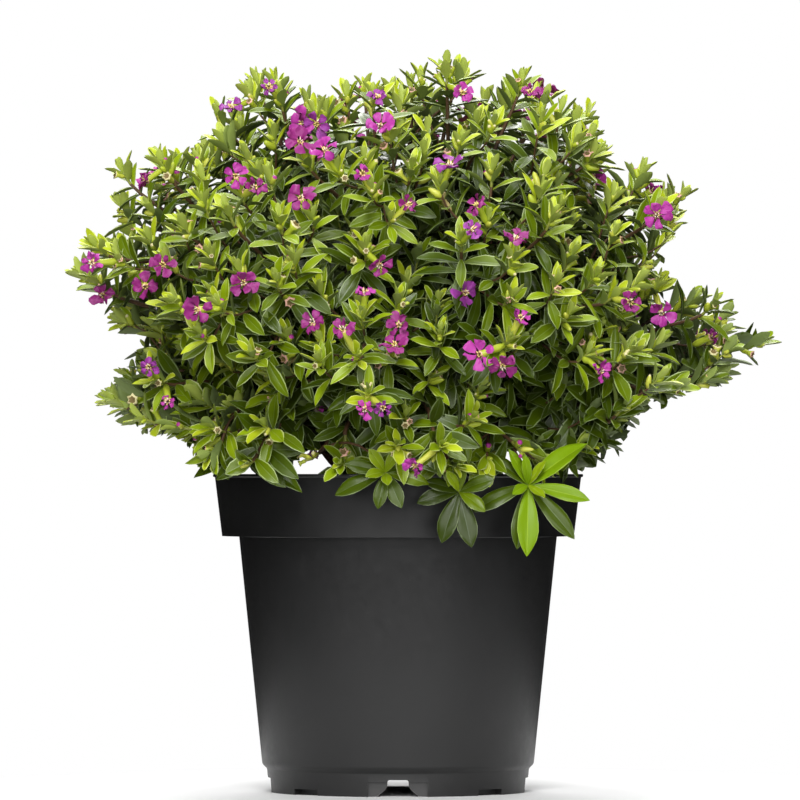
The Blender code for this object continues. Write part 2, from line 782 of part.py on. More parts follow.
def fuse(name, meshes, root, parts):
    """Joins closed meshes by one Boolean union and returns the object, with its origin at root."""
    pile = new_collection(f"{name}_pieces")
    for mesh in meshes:
        mesh.transform(Matrix.Translation(-root))
    stem = new_object(name, meshes[0], parts, root)
    for index, mesh in enumerate(meshes[1:]):
        new_object(f"{name}_{index}", mesh, pile, root)
    union = stem.modifiers.new("union", "BOOLEAN")
    union.operation = "UNION"
    union.operand_type = "COLLECTION"
    union.collection = pile
    union.solver = "EXACT"
    union.material_mode = "TRANSFER"
    bpy.context.view_layer.update()
    fused = bpy.data.meshes.new_from_object(stem.evaluated_get(bpy.context.evaluated_depsgraph_get()))
    stem.modifiers.clear()
    stem.data = fused
    main_body(fused)
    for piece in list(pile.objects):
        bpy.data.objects.remove(piece, do_unlink=True)
    bpy.data.collections.remove(pile)
    return stem


class SprayGrowth:
    """Grows one spray: a stem, its side twigs, their leaves in crossed pairs and a few flowers."""

    def __init__(self, spray, limbs):
        self.spray = spray
        self.limbs = limbs
        self.rng = random.Random(f"{SEED} {spray.name}")
        self.meshes = []
        self.shoots = []
        self.wood = []
        self.taken = []

    def fits(self, points):
        """Tells whether these points keep to the spray's wedge and touch nothing else."""
        return (in_wedge(self.spray, points) and clears_pot(points)
                and inside_crown(self.spray, points) and clears_limbs(points, self.limbs))

    def add_shoot(self, course, radii):
        """Adds a stem or a twig."""
        mesh = three_sided_limb(course, radii)
        self.meshes.append(mesh)
        self.wood.append(solid_tree(mesh))
        self.shoots.append(course)

    def add_leaf(self, shoot, root, way, face_up, length):
        """Adds a leaf unless it would leave the spray's space or cross another leaf or twig."""
        if not self.fits(leaf_points(root, way, face_up, length)):
            return False
        room = leaf_room(root, way, face_up, length)
        others = [tree for index, tree in enumerate(self.wood) if index != shoot]
        if any(room.overlap(tree) for tree in others + self.taken):
            return False
        self.meshes.append(leaf_mesh(root, way, face_up, length))
        self.taken.append(room)
        return True

    def add_flower(self, shoot, root, way):
        """Adds a flower on its tube unless it would leave the spray's space or cross a leaf."""
        centre = root + way * FLOWER_STALK
        flower = flower_mesh(centre, way)
        tube = three_sided_limb([root - way * LEAF_SINK, centre], [TWIG_TIP_RADIUS, TWIG_RADIUS])
        tree = solid_tree(flower)
        others = [other for index, other in enumerate(self.wood) if index != shoot]
        if not self.fits([v.co for v in flower.vertices]):
            return False
        if any(tree.overlap(other) or solid_tree(tube).overlap(other) for other in others + self.taken):
            return False
        self.meshes += [tube, flower]
        self.taken.append(tree)
        return True

    def end_rosette(self, shoot):
        """Sets the young leaves that crowd a shoot's end, smaller where there is less room."""
        course = self.shoots[shoot]
        way = (course[-1] - course[-2]).normalized()
        for share in ROSETTE_SHARES:
            rosette = rosette_mesh(course[-1] - way * LEAF_SINK, way, share)
            points = [v.co for v in rosette.vertices]
            room = solid_tree(rosette)
            others = [tree for index, tree in enumerate(self.wood) if index != shoot]
            crossed = any(room.overlap(tree) for tree in others + self.taken)
            if self.fits(points) and not crossed:
                self.meshes.append(rosette)
                self.taken.append(room)
                return

    def leaf_pair(self, shoot, back, lean, turn):
        """Sets two opposite leaves at this distance back from a shoot's end."""
        place, way = point_back(self.shoots[shoot], back)
        side = way.orthogonal().normalized()
        over = way.cross(side)
        for half in (0.0, math.pi):
            for swing in LEAF_SWINGS:
                angle = turn + half + swing
                out = side * math.cos(angle) + over * math.sin(angle)
                tilt = lean + self.rng.uniform(*LEAF_TILT_SPREAD)
                leaf_way = way * math.cos(tilt) + out * math.sin(tilt)
                length = LEAF_LENGTH * self.rng.uniform(*LEAF_LENGTH_SHARES)
                if self.add_leaf(shoot, place, leaf_way, way, length):
                    break

    def flower_near_end(self, shoot):
        """Sets a flower beside a shoot's end, on the first side where it has room."""
        root, way = point_back(self.shoots[shoot], FLOWER_BACK)
        out = (root - HEART).normalized()
        side = way.orthogonal().normalized()
        for turn in range(FLOWER_TURNS):
            round_way = Matrix.Rotation(turn * GOLDEN_ANGLE, 3, way) @ side
            if self.add_flower(shoot, root, (out + round_way * FLOWER_LEAN).normalized()):
                return

    def lay_shoots(self):
        """Lays the stem and then the twigs that fan out from it to the spray's outer surface."""
        stem = stem_course(self.spray)
        self.add_shoot(stem, tapered(STEM_RADIUS, STEM_TIP_RADIUS, STEM_KNOTS))
        whole = course_length(stem)
        for index, end in enumerate(twig_ends(self.spray, self.rng)):
            start, _ = point_back(stem, whole * (FIRST_TWIG - TWIG_ZONE * index / TWIGS))
            run = end - start
            stop = start + run * max(SHORTEST_TWIG, 1.0 - (LEAF_LENGTH - LEAF_SINK) / run.length)
            course = [start, stop]
            tests = samples_of((course, [TWIG_RADIUS] * 2), STEM_RADIUS)[2:]
            if self.fits([point for point, _ in tests]):
                self.add_shoot(course, [TWIG_RADIUS, TWIG_TIP_RADIUS])

    def grow(self, parts):
        """Grows the whole spray and returns its fused object."""
        self.lay_shoots()
        core = core_mesh(self.spray)
        if self.fits([v.co for v in core.vertices]):
            self.meshes.append(core)
        for shoot in range(len(self.shoots)):
            self.end_rosette(shoot)
        for shoot in range(0, len(self.shoots), SHOOTS_PER_FLOWER):
            self.flower_near_end(shoot)
        turns = [self.rng.uniform(0.0, math.pi) for _ in self.shoots]
        for rank, (back, lean) in enumerate(zip(LEAF_BACKS, LEAF_TILTS)):
            for shoot, course in enumerate(self.shoots):
                if back < course_length(course) - TWIG_RADIUS:
                    self.leaf_pair(shoot, back, lean, turns[shoot] + rank * math.pi / 2)
        return fuse(f"foliage_{self.spray.name}", self.meshes, self.shoots[0][0].copy(), parts)


def leaving_heights():
    """Returns the height at which each spray's bough leaves the trunk, low ones first."""
    borne = [spray for spray in SPRAYS if spray is not LEADER_SPRAY]
    by_rise = sorted(borne, key=lambda spray: aim_of(spray).z)
    step = (HIGHEST_BOUGH - LOWEST_BOUGH) / (len(borne) - 1)
    return {spray.name: LOWEST_BOUGH + step * rank for rank, spray in enumerate(by_rise)}


def build_wood(parts, cutters):
    """Makes the trunk and the boughs, and returns them with what they fill of space."""
    points, radii = trunk_course(0.0)
    trunk = limb_object("trunk", points, radii, 3, parts)
    limbs = samples_of((points, radii))
    points, radii = trunk_course(CLEAR)
    room = limb_object("trunk_room", points, radii, 3, cutters)
    boughs = []
    by_name = {spray.name: spray for spray in SPRAYS}
    for name, height in leaving_heights().items():
        spray = by_name[name]
        course = bough_course(spray, height)
        bough = limb_object(f"bough_{spray.name}", *course, 1, parts)
        cut_away(bough, room)
        boughs.append(bough)
        limbs += samples_of(course)
    return [trunk] + boughs, limbs


def main():
    """Builds the pot, the soil, the woody parts and the foliage under one stand."""
    clear_scene()
    parts = new_collection("potted_cuphea")
    cutters = new_collection("cutters")
    build_pot(parts, cutters).data.materials.append(material_of("pot_plastic"))
    build_soil(parts, cutters).data.materials.append(material_of("soil"))
    wood, limbs = build_wood(parts, cutters)
    for limb in wood:
        limb.data.materials.append(material_of("bark"))
    for spray in SPRAYS:
        SprayGrowth(spray, limbs).grow(parts)
    stand = bpy.data.objects.new("stand", None)
    stand.location = POT_AXIS
    for obj in list(parts.objects) + list(cutters.objects):
        obj.parent = stand
    parts.objects.link(stand)
    for cutter in cutters.objects:
        cutter.hide_render = True
        cutter.display_type = "WIRE"


main()
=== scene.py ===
"""Looks of the potted cuphea: a small flowering shrub, clipped to a dome, in its black nursery pot.

Metres, +Z up, and the viewer stands on the -Y side. The growth rule works from the pot's own axis,
as the solids' source does, and every finished piece is then shifted by POT_AXIS into the shared frame.
"""

import sys

import logging
import math
from collections.abc import Iterable, Iterator, Sequence
from dataclasses import dataclass, field, fields
from enum import Enum, IntEnum
from itertools import accumulate
from random import Random

import bmesh
import bpy
import numpy as np
from bpy.types import Camera, Light, Material, Modifier, Node, NodeSocket, Object
from mathutils import Matrix, Quaternion, Vector


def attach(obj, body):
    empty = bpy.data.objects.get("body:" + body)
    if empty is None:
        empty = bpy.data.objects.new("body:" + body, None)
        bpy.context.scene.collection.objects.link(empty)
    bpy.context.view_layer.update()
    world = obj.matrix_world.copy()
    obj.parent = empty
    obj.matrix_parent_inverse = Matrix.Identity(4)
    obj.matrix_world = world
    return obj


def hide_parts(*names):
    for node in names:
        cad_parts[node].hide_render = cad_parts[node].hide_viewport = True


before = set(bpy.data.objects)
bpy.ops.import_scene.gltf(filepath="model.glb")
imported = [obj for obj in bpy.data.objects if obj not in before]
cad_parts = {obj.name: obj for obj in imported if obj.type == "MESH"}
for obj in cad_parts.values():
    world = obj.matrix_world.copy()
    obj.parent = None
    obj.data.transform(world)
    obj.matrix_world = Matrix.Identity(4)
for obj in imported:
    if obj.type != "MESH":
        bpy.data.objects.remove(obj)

LOG = logging.getLogger("cuphea")
BODY = "root"
MM = 0.001
UP = Vector((0.0, 0.0, 1.0))
TOWARDS_VIEWER = Vector((0.0, -1.0, 0.0))
GOLDEN_ANGLE = math.pi * (3.0 - math.sqrt(5.0))
Rgb = tuple[float, float, float]

# Where the pot's axis lies in the shared frame
POT_AXIS = Vector((-0.0094, 0.0, 0.0))

# The pot
POT_HEIGHT = 0.1285
LIP_RADIUS = 0.0750
LIP_DEPTH = 0.0011
BAND_TOP_RADIUS = 0.0742
BAND_FOOT_RADIUS = 0.0713
BAND_FOOT = 0.1034
BODY_TOP_RADIUS = 0.0644
BODY_FOOT_RADIUS = 0.0550
BODY_FOOT = 0.0112
FOOT_TOP_RADIUS = 0.0531
FOOT_TOP = 0.0094
FOOT_RADIUS = 0.0524
WALL = 0.0010
FLOOR = 0.0012
SOIL_TOP = 0.1120
SOIL_EDGE_DROP = 0.0020
CLEAR = 0.0003

# The woody parts
TRUNK_FOOT = Vector((-0.0120, 0.0020, SOIL_TOP + CLEAR))
TRUNK_BEND = Vector((-0.0135, 0.0010, 0.1320))
TRUNK_FLARE_RADIUS = 0.0068
TRUNK_RADIUS = 0.0046
TRUNK_TIP_RADIUS = 0.0016
TRUNK_LAST_STRETCH = 0.0250
TRUNK_FLARE_HEIGHT = 0.0080
TRUNK_KNOTS = 11
LOWEST_BOUGH = 0.1195
HIGHEST_BOUGH = 0.1760
BOUGH_RADIUS = 0.0019
BOUGH_TIP_RADIUS = 0.0015
BOUGH_THINNING = 0.0004
BOUGH_SHARE = 0.37
BOUGH_LEAVING_PULL = 0.38
BOUGH_ARRIVING_PULL = 0.33
BOUGH_KNOTS = 9
GREATEST_CLIMB = 1.5
RIM_PASS = 0.1385

# The crown's sides, and its underside, which rises outwards from the rim
CROWN_LEFT = -0.1340
CROWN_RIGHT = 0.1520
CROWN_FOOT = 0.1290
CROWN_FOOT_RADIUS = 0.0800
CROWN_FOOT_SLOPE = 0.70
HANG = 0.0140
POT_MARGIN = 0.0012

# The source's rule for a spray's stem and its four twigs
HEART = Vector((-0.0040, 0.0, 0.1400))
SEED = 7
LEAF_ROOM = 0.0361
STEM_RADII = (0.0014, 0.0006)
TWIG_RADII = (0.0010, 0.0006)
STEM_KNOTS = 8
STEM_LEAVING_PULL = 0.35
STEM_ARRIVING_PULL = 0.30
STEM_LIFT = 2.4
STEM_HANG = 2.0
TWIGS = 4
TWIG_SPREAD = math.radians(22.0)
TWIG_OFFSET = 0.9
TWIG_DRAWN_IN = (1.0, 0.88, 0.76, 0.64, 0.52)
TWIG_REACHES = (0.93, 1.0)
TWIG_HANG = 0.9
TWIG_TIP_MARGIN = 0.0020
FIRST_TWIG = 0.94
TWIG_ZONE = 0.50
SHORTEST_TWIG = 0.35
LOBE_ROUNDING = 1.2

# The finer shoots that carry the rule on
FINE_CANDIDATES = 60
FINE_SPREAD = math.radians(27.0)
FINE_OFFSET = 0.5
FINE_REACHES = (0.88, 1.0)
FINE_DRAWN_IN = (1.0, 0.94, 0.88, 0.82, 0.76)
INNER_REACHES = (0.62, 0.80)
FINE_WEDGE_MARGIN = -0.0050
FINE_RADII = (0.0006, 0.0004)
FINE_LENGTHS = (0.032, 0.050)
FINE_KNOTS = 8
FINE_PULL = 0.38
PARENT_PULL = 0.7
FINE_VIGOUR = (0.88, 1.08)
SHORTEST_FINE = 0.016
TIP_GAP = 0.0148
INNER_TIP_GAP = 0.0165
# The inner shoots' leaves take darker tints: partly older leaves, partly painted shade deep in the crown
INNER_SHADE = 3.2
ROSETTE_REACH = 0.0060
UPTURN = 0.42
RIM_UPTURN = 0.30

# How the source's stems and twigs are carried on to young ends
CARRIED_DRAWN_IN = FINE_DRAWN_IN + (0.66, 0.56, 0.46, 0.36)
YOUNG_PULL = 0.35
YOUNG_KNOTS = 6

# How far the crown reaches on the photograph, in millimetres: every 5 degrees, anticlockwise from the
# right, seen from a place on the pot's axis. The camera's own place turns a point into its place there.
REACH_CENTRE = 0.1999
REACH_STEP = 5.0
FRONT_REACH = (
    135, 109, 102, 118, 127, 122, 118, 104, 104, 111, 112, 111, 107, 106, 99, 102, 100, 93,
    94, 94, 92, 88, 91, 92, 111, 114, 111, 107, 101, 104, 123, 130, 121, 118, 131, 135,
    122, 117, 99, 121, 127, 120, 109, 101, 103, 104, 91, 90, 89, 88, 76, 84, 82, 86,
    86, 85, 102, 106, 103, 117, 116, 121, 117, 104, 100, 105, 104, 106, 115, 136, 150, 151,
)
CAMERA_DISTANCE = 2.8
CAMERA_HEIGHT = 0.1280

# How far outside that outline shoots' ends and leaves may show, how far inside it limbs keep, and how
# low ends and leaves may show before the pot's rim
TIP_SLACK = 0.0010
TIP_FLOOR = 0.1330
LEAF_FLOOR = 0.1225
LEAF_SLACK = 0.0026
LEAF_STRAY = 0.0140
LIMB_INSET = 0.0040
LIFT_STEPS = 14


def bezier(start: Vector, start_pull: Vector, end_pull: Vector, end: Vector, count: int) -> list[Vector]:
    """Lays points along a cubic curve, which leaves for its first pull and arrives from its last.

    Args:
        start: Where it starts.
        start_pull: The pull at its start.
        end_pull: The pull at its end.
        end: Where it ends.
        count: How many points it has.

    Returns:
        The points.
    """
    shares = [(1.0 - index / (count - 1), index / (count - 1)) for index in range(count)]
    return [start * s**3 + start_pull * (3 * s * s * t) + end_pull * (3 * s * t * t) + end * t**3
            for s, t in shares]


def tapered(root: float, tip: float, count: int) -> list[float]:
    """Returns radii that shrink evenly from a limb's root to its tip."""
    return [root + (tip - root) * index / (count - 1) for index in range(count)]


def course_length(points: Sequence[Vector]) -> float:
    """Returns the length of a course of points."""
    return sum((high - low).length for low, high in zip(points, points[1:]))


def point_back(points: Sequence[Vector], distance: float) -> tuple[Vector, Vector]:
    """Finds a place on a course by its distance back from the end.

    Args:
        points: The course.
        distance: How far back, in metres.

    Returns:
        The place, and the course's direction there.
    """
    for low, high in reversed(list(zip(points, points[1:]))):
        length = (high - low).length
        if distance <= length:
            return high.lerp(low, distance / length), (high - low).normalized()
        distance -= length
    return points[0].copy(), (points[1] - points[0]).normalized()


def turns_along(points: Sequence[Vector]) -> list[Quaternion]:
    """Stands a cross-section at each point of a course, without twisting it on the way.

    Args:
        points: The course.

    Returns:
        A turn for each point that carries +Z into the course's direction.
    """
    turns: list[Quaternion] = []
    for index in range(len(points)):
        way = (points[min(len(points) - 1, index + 1)] - points[max(0, index - 1)]).normalized()
        if turns:
            bend = (turns[-1] @ UP).rotation_difference(way)
            turns.append(bend @ turns[-1])
        else:
            turns.append(UP.rotation_difference(way))
    return turns


def turned_out(way: Vector, turn: float) -> Vector:
    """Returns a direction square to another one, turned this far about it."""
    return Matrix.Rotation(turn, 3, way) @ way.orthogonal().normalized()


def spiral(aim: Vector, first: float, count: int, offset: float,
           spread: float) -> Iterator[tuple[float, Vector]]:
    """Spreads directions evenly over a cone, as seeds lie in a flower head.

    Args:
        aim: The cone's axis.
        first: The turn of the first direction about the axis.
        count: How many directions.
        offset: How far the first one stands out from the axis, in steps of the spiral.
        spread: Half the cone's opening angle.

    Returns:
        Each direction's angle from the axis, and the side that it leans to.
    """
    side = aim.orthogonal().normalized()
    over = aim.cross(side)
    for index in range(count):
        turn = first + index * GOLDEN_ANGLE
        yield spread * math.sqrt((index + offset) / count), side * math.cos(turn) + over * math.sin(turn)


def on_photo(point: Vector) -> tuple[float, float]:
    """Returns where a point shows on the photograph: right of the pot's axis and above the ground."""
    nearer = CAMERA_DISTANCE / (CAMERA_DISTANCE + point.y)
    return point.x * nearer, CAMERA_HEIGHT + (point.z - CAMERA_HEIGHT) * nearer


def in_outline(point: Vector, slack: float) -> bool:
    """Tells whether a point shows inside the photograph's outline of the crown.

    Args:
        point: A place measured from the pot's axis.
        slack: How far outside it may show.

    Returns:
        True where it is inside.
    """
    right, up = on_photo(point)
    up -= REACH_CENTRE
    step = math.degrees(math.atan2(up, right)) % 360.0 / REACH_STEP
    low = int(step)
    share = step - low
    limit = FRONT_REACH[low] * (1.0 - share) + FRONT_REACH[(low + 1) % len(FRONT_REACH)] * share
    return math.hypot(right, up) <= limit * MM + slack


def lifted(course: Sequence[Vector]) -> list[Vector]:
    """Lifts a limb's points, but its root, until they show well inside the crown's lower outline.

    Args:
        course: The limb's points.

    Returns:
        The lifted points.
    """
    points = [course[0]]
    for point in course[1:]:
        higher = [point + UP * (step * MM) for step in range(LIFT_STEPS)]
        inside = [place for place in higher if in_outline(place, -LIMB_INSET)]
        low = on_photo(point)[1] < REACH_CENTRE
        points.append(inside[0] if low and inside else point)
    return points


def over_rim(point: Vector, lowest: float) -> bool:
    """Tells whether a point would show lower than this before the pot's rim."""
    return point.y < 0.0 and abs(point.x) < LIP_RADIUS and on_photo(point)[1] < lowest


class Zone(Enum):
    """The parts of the crown that the leaves are joined by."""

    TOP = "leaves_of_the_top"
    SHOULDER = "leaves_of_the_front_shoulders"
    FRONT = "leaves_of_the_front_and_sides"
    BACK = "leaves_of_the_back"


@dataclass(frozen=True)
class Spray:
    """One spray of the crown, placed by its furthest leaf tip from the pot's axis.

    right, back and up place that tip, and droop is how far the spray's end hangs, all in millimetres.
    shade shifts its leaves' tints darker or, below 0, lighter: partly for their age and partly as painted
    shade and light for how lit that part of the crown is. size makes them larger, and hang turns them down.
    """

    name: str
    right: float
    back: float
    up: float
    droop: float
    shade: float = 0.0
    size: float = 1.0
    hang: float = 0.0

    @property
    def tip(self) -> Vector:
        """Returns the spray's furthest leaf tip."""
        return Vector((self.right, self.back, self.up)) * MM

    @property
    def droop_drop(self) -> Vector:
        """Returns how far the spray's end hangs, as an upright vector."""
        return UP * (self.droop * MM)

    @property
    def aim(self) -> Vector:
        """Returns the direction from the heart that the spray grows in, before its end hangs."""
        return (self.tip + self.droop_drop - HEART).normalized()

    @property
    def reach(self) -> float:
        """Returns how far from the heart the spray reaches."""
        return (self.tip - HEART).length

    @property
    def bough_tip(self) -> Vector:
        """Finds where the spray's bough ends and its own stem starts.

        Returns:
            The place.
        """
        tip = HEART + self.aim * (self.reach * BOUGH_SHARE)
        tip.z = max(tip.z, RIM_PASS)
        return tip

    @property
    def stem_end(self) -> tuple[Vector, Vector]:
        """Returns where the source's stem ends, and its direction there."""
        along = (self.tip - self.bough_tip - STEM_HANG * self.droop_drop).normalized()
        return self.tip - along * LEAF_ROOM, along

    @property
    def stem_direction(self) -> Vector:
        """Returns the direction in which the stem leaves its bough."""
        end, _ = self.stem_end
        return (end + STEM_LIFT * self.droop_drop - self.bough_tip).normalized()

    @property
    def zone(self) -> Zone:
        """Finds the part of the crown that the spray's leaves are joined to.

        Returns:
            The part.
        """
        if self.name.startswith(("back", "shoulder_back")):
            return Zone.BACK
        zones = {"top": Zone.TOP, "shoulder": Zone.SHOULDER}
        return zones.get(self.name.split("_")[0], Zone.FRONT)

    @property
    def upturn(self) -> float:
        """Returns how strongly the spray's shoots turn up at their ends."""
        return RIM_UPTURN if self.droop > 20 else UPTURN

    def lobe_limit(self, way: Vector) -> float:
        """Returns how far from the heart the spray may reach in this direction."""
        return self.reach * (1.0 - LOBE_ROUNDING * (1.0 - max(0.0, way.dot(self.aim))))

    def upturned(self, way: Vector) -> Vector:
        """Returns the direction of a shoot's end: its own way, turned up."""
        return (way * (1.0 - self.upturn) + UP * self.upturn).normalized()

    def stem_course(self) -> list[Vector]:
        """Lays the spray's own stem by the source's rule.

        Returns:
            The stem's points, from its bough's tip outwards.
        """
        way = self.stem_direction
        start = self.bough_tip + way * CLEAR
        end, along = self.stem_end
        span = (end - start).length
        arriving = end - along * span * STEM_ARRIVING_PULL
        return bezier(start, start + way * span * STEM_LEAVING_PULL, arriving, end, STEM_KNOTS)


# The shade column darkens or lightens each spray's leaf tints: partly for age, partly painted shade and
# light for how lit that part of the crown is
SPRAYS = (
    Spray("top", 24, 16, 298, 0),
    Spray("top_left", -58, 10, 293, 0),
    Spray("top_right", 80, 12, 282, 0),
    Spray("top_mid_left", -14, 24, 294, 0),
    Spray("top_mid_right", 52, -30, 295, 0),
    Spray("top_front", -10, -60, 284, 0),
    Spray("top_back", 8, 78, 278, 0),
    Spray("shoulder_left", -115, -18, 257, 0),
    Spray("shoulder_right", 119, -6, 247, 0, -0.2),
    Spray("shoulder_front_left", -68, -96, 236, 0),
    Spray("shoulder_front_right", 62, -100, 234, 0),
    Spray("shoulder_back_left", -74, 94, 236, 0),
    Spray("shoulder_back_right", 78, 92, 234, 0),
    Spray("side_left", -132, 26, 214, 0, 0.3, 1.05),
    Spray("side_left_low", -122, -42, 158, 12, -0.4, 1.10, 0.15),
    Spray("side_right", 152, 14, 186, 8, 1.7, 1.12, 0.05),
    Spray("side_right_low", 122, -62, 160, 10, 1.0, 1.15, 0.15),
    Spray("front_low", -16, -126, 178, 12, 0.2, 1.0, 0.05),
    Spray("front_mid_low", 18, -106, 142, 12, 0.8, 1.10, 0.20),
    Spray("front_rim", -26, -86, 116, 26, 1.2, 1.20, 0.35),
    Spray("front_right_low", 62, -90, 98, 44, 0.9, 1.25, 0.50),
    Spray("front_left_low", -84, -84, 128, 24, 0.8, 1.25, 0.30),
    Spray("back_low", 0, 126, 172, 14, 0.5, 1.05, 0.05),
    Spray("back_rim", 22, 102, 138, 16, 0.9, 1.15, 0.20),
    Spray("back_left_low", -98, 84, 158, 14, 0.7, 1.10, 0.15),
    Spray("back_right_low", 100, 82, 152, 16, 0.7, 1.10, 0.15),
)
LEADER = SPRAYS[0]


@dataclass(frozen=True)
class SkyGap:
    """A place where the photograph shows sky through the plant, in millimetres from the pot's axis."""

    left: float
    right: float
    low: float
    high: float

    def holds(self, point: Vector) -> bool:
        """Tells whether a point would stand in this gap."""
        right, up = on_photo(point)
        return (self.left <= right / MM <= self.right) and (self.low <= up / MM <= self.high)


SKY_GAPS = (
    SkyGap(-44.0, -26.5, 128.7, 136.5),
    SkyGap(-65.0, -57.0, 128.7, 132.5),
    SkyGap(42.0, 54.0, 129.0, 138.5),
)

# The flowers that the photograph shows, in millimetres to the right of the pot's axis and up
SEEN_FLOWERS = (
    (-102.2, 247.3), (-67.7, 277.3), (-52.3, 285.4), (-38.5, 270.8), (-32.8, 270.4), (-39.7, 263.1),
    (-29.6, 259.9), (-65.7, 249.3), (-58.0, 244.5), (-39.3, 240.4), (-14.2, 250.1), (-7.3, 269.6),
    (-8.1, 281.3), (4.1, 237.6), (21.1, 253.8), (25.9, 283.0), (32.4, 237.6), (30.0, 227.4),
    (53.5, 283.4), (47.8, 224.2), (-124.1, 214.1), (-119.6, 201.1), (-95.3, 213.2), (-102.6, 204.3),
    (-81.1, 195.0), (-62.8, 205.9), (-34.5, 190.1), (-22.3, 186.9), (-13.4, 201.9), (-7.3, 213.2),
    (0.8, 188.9), (-1.2, 180.8), (27.2, 201.9), (33.2, 176.8), (42.2, 172.3), (49.5, 191.8),
    (94.1, 198.2), (107.0, 193.8), (81.9, 169.9), (105.0, 233.5), (-33.2, 154.9), (-13.4, 154.5),
    (-6.1, 155.3), (6.9, 131.8), (-93.2, 157.7), (-100.9, 171.9),
)

# Flowers lower or higher than this, in millimetres, are smaller than the others, and high ones look up
LOW_FLOWERS = 160.0
HIGH_FLOWERS = 275.0
SMALL_FLOWER = 0.74


class Tint(Enum):
    """A leaf's age, youngest first, and last the lush green of the long leaves over the rim."""

    LIME = 0
    FRESH = 1
    GREEN = 2
    DARK = 3
    DEEP = 4
    LUSH = 5


LIME, FRESH, GREEN, DARK, DEEP, LUSH = Tint


@dataclass(frozen=True)
class RimShoot:
    """A shoot that lies over the pot's rim, placed leaf by leaf as the photograph shows it.

    spray names the spray that bears it. centre places its end to the right, back and up. Each leaf
    has its tip's place to the right and up, how far that stands before the centre, its width, all
    in millimetres, and its tint.
    """

    spray: str
    centre: tuple[float, float, float]
    leaves: tuple[tuple[float, float, float, float, Tint], ...]


RIM_SHOOTS = (
    RimShoot("front_right_low", (51.5, -67.0, 124.0), (
        (50.8, 95.5, 7.0, 8.8, LUSH), (47.0, 98.5, 3.0, 7.6, DARK), (76.0, 118.0, 4.0, 6.6, LUSH),
        (70.0, 102.5, 1.0, 7.6, DARK), (75.5, 141.0, 2.0, 10.5, LUSH), (29.0, 113.5, 4.0, 7.6, DARK),
        (43.5, 138.5, 6.0, 5.0, LUSH), (35.5, 136.0, 3.0, 6.0, DARK), (50.0, 136.5, 8.0, 4.0, LUSH),
        (58.5, 134.0, 7.0, 4.0, FRESH), (58.0, 119.0, 10.0, 4.2, FRESH), (45.0, 120.5, 10.0, 4.2, LUSH),
    )),
    RimShoot("front_right_low", (24.0, -80.0, 121.5), (
        (17.0, 101.0, 2.0, 8.0, DEEP), (29.0, 99.5, 3.0, 8.2, DEEP), (7.0, 117.0, 3.0, 6.6, DEEP),
        (10.0, 125.5, 4.0, 6.0, DEEP), (38.0, 126.5, 5.0, 6.6, DARK), (24.5, 134.5, 5.0, 5.6, GREEN),
        (34.5, 113.5, 7.0, 6.0, GREEN), (19.0, 130.0, 7.0, 4.0, FRESH),
    )),
    RimShoot("front_rim", (-5.0, -84.0, 129.0), (
        (-25.0, 120.0, 0.0, 7.4, DARK), (1.5, 115.0, 4.0, 6.4, DARK), (-8.0, 114.5, 3.0, 5.6, DARK),
        (12.5, 124.5, 4.0, 6.4, GREEN), (-21.0, 132.5, 3.0, 6.0, DARK), (9.5, 133.5, 4.0, 5.2, DARK),
        (-11.5, 138.5, 4.0, 5.0, FRESH), (0.5, 139.0, 6.0, 4.6, FRESH), (-4.0, 124.0, 8.0, 4.4, FRESH),
        (-13.0, 127.5, 6.0, 4.6, FRESH),
    )),
    RimShoot("front_left_low", (-62.5, -62.0, 138.0), (
        (-81.0, 126.8, 4.0, 7.0, DARK), (-79.5, 131.5, 6.0, 6.4, GREEN), (-37.6, 121.0, 9.0, 8.0, DARK),
        (-44.0, 123.0, 12.0, 7.4, DARK), (-36.0, 137.4, 8.0, 6.4, DARK), (-73.0, 143.4, 4.0, 6.0, GREEN),
        (-68.0, 147.5, 4.0, 5.0, FRESH), (-56.0, 148.0, 4.0, 5.0, FRESH), (-62.0, 145.5, 8.0, 4.0, LIME),
        (-52.0, 140.5, 9.0, 5.0, GREEN), (-66.0, 131.0, 9.0, 4.6, LIME),
    )),
)


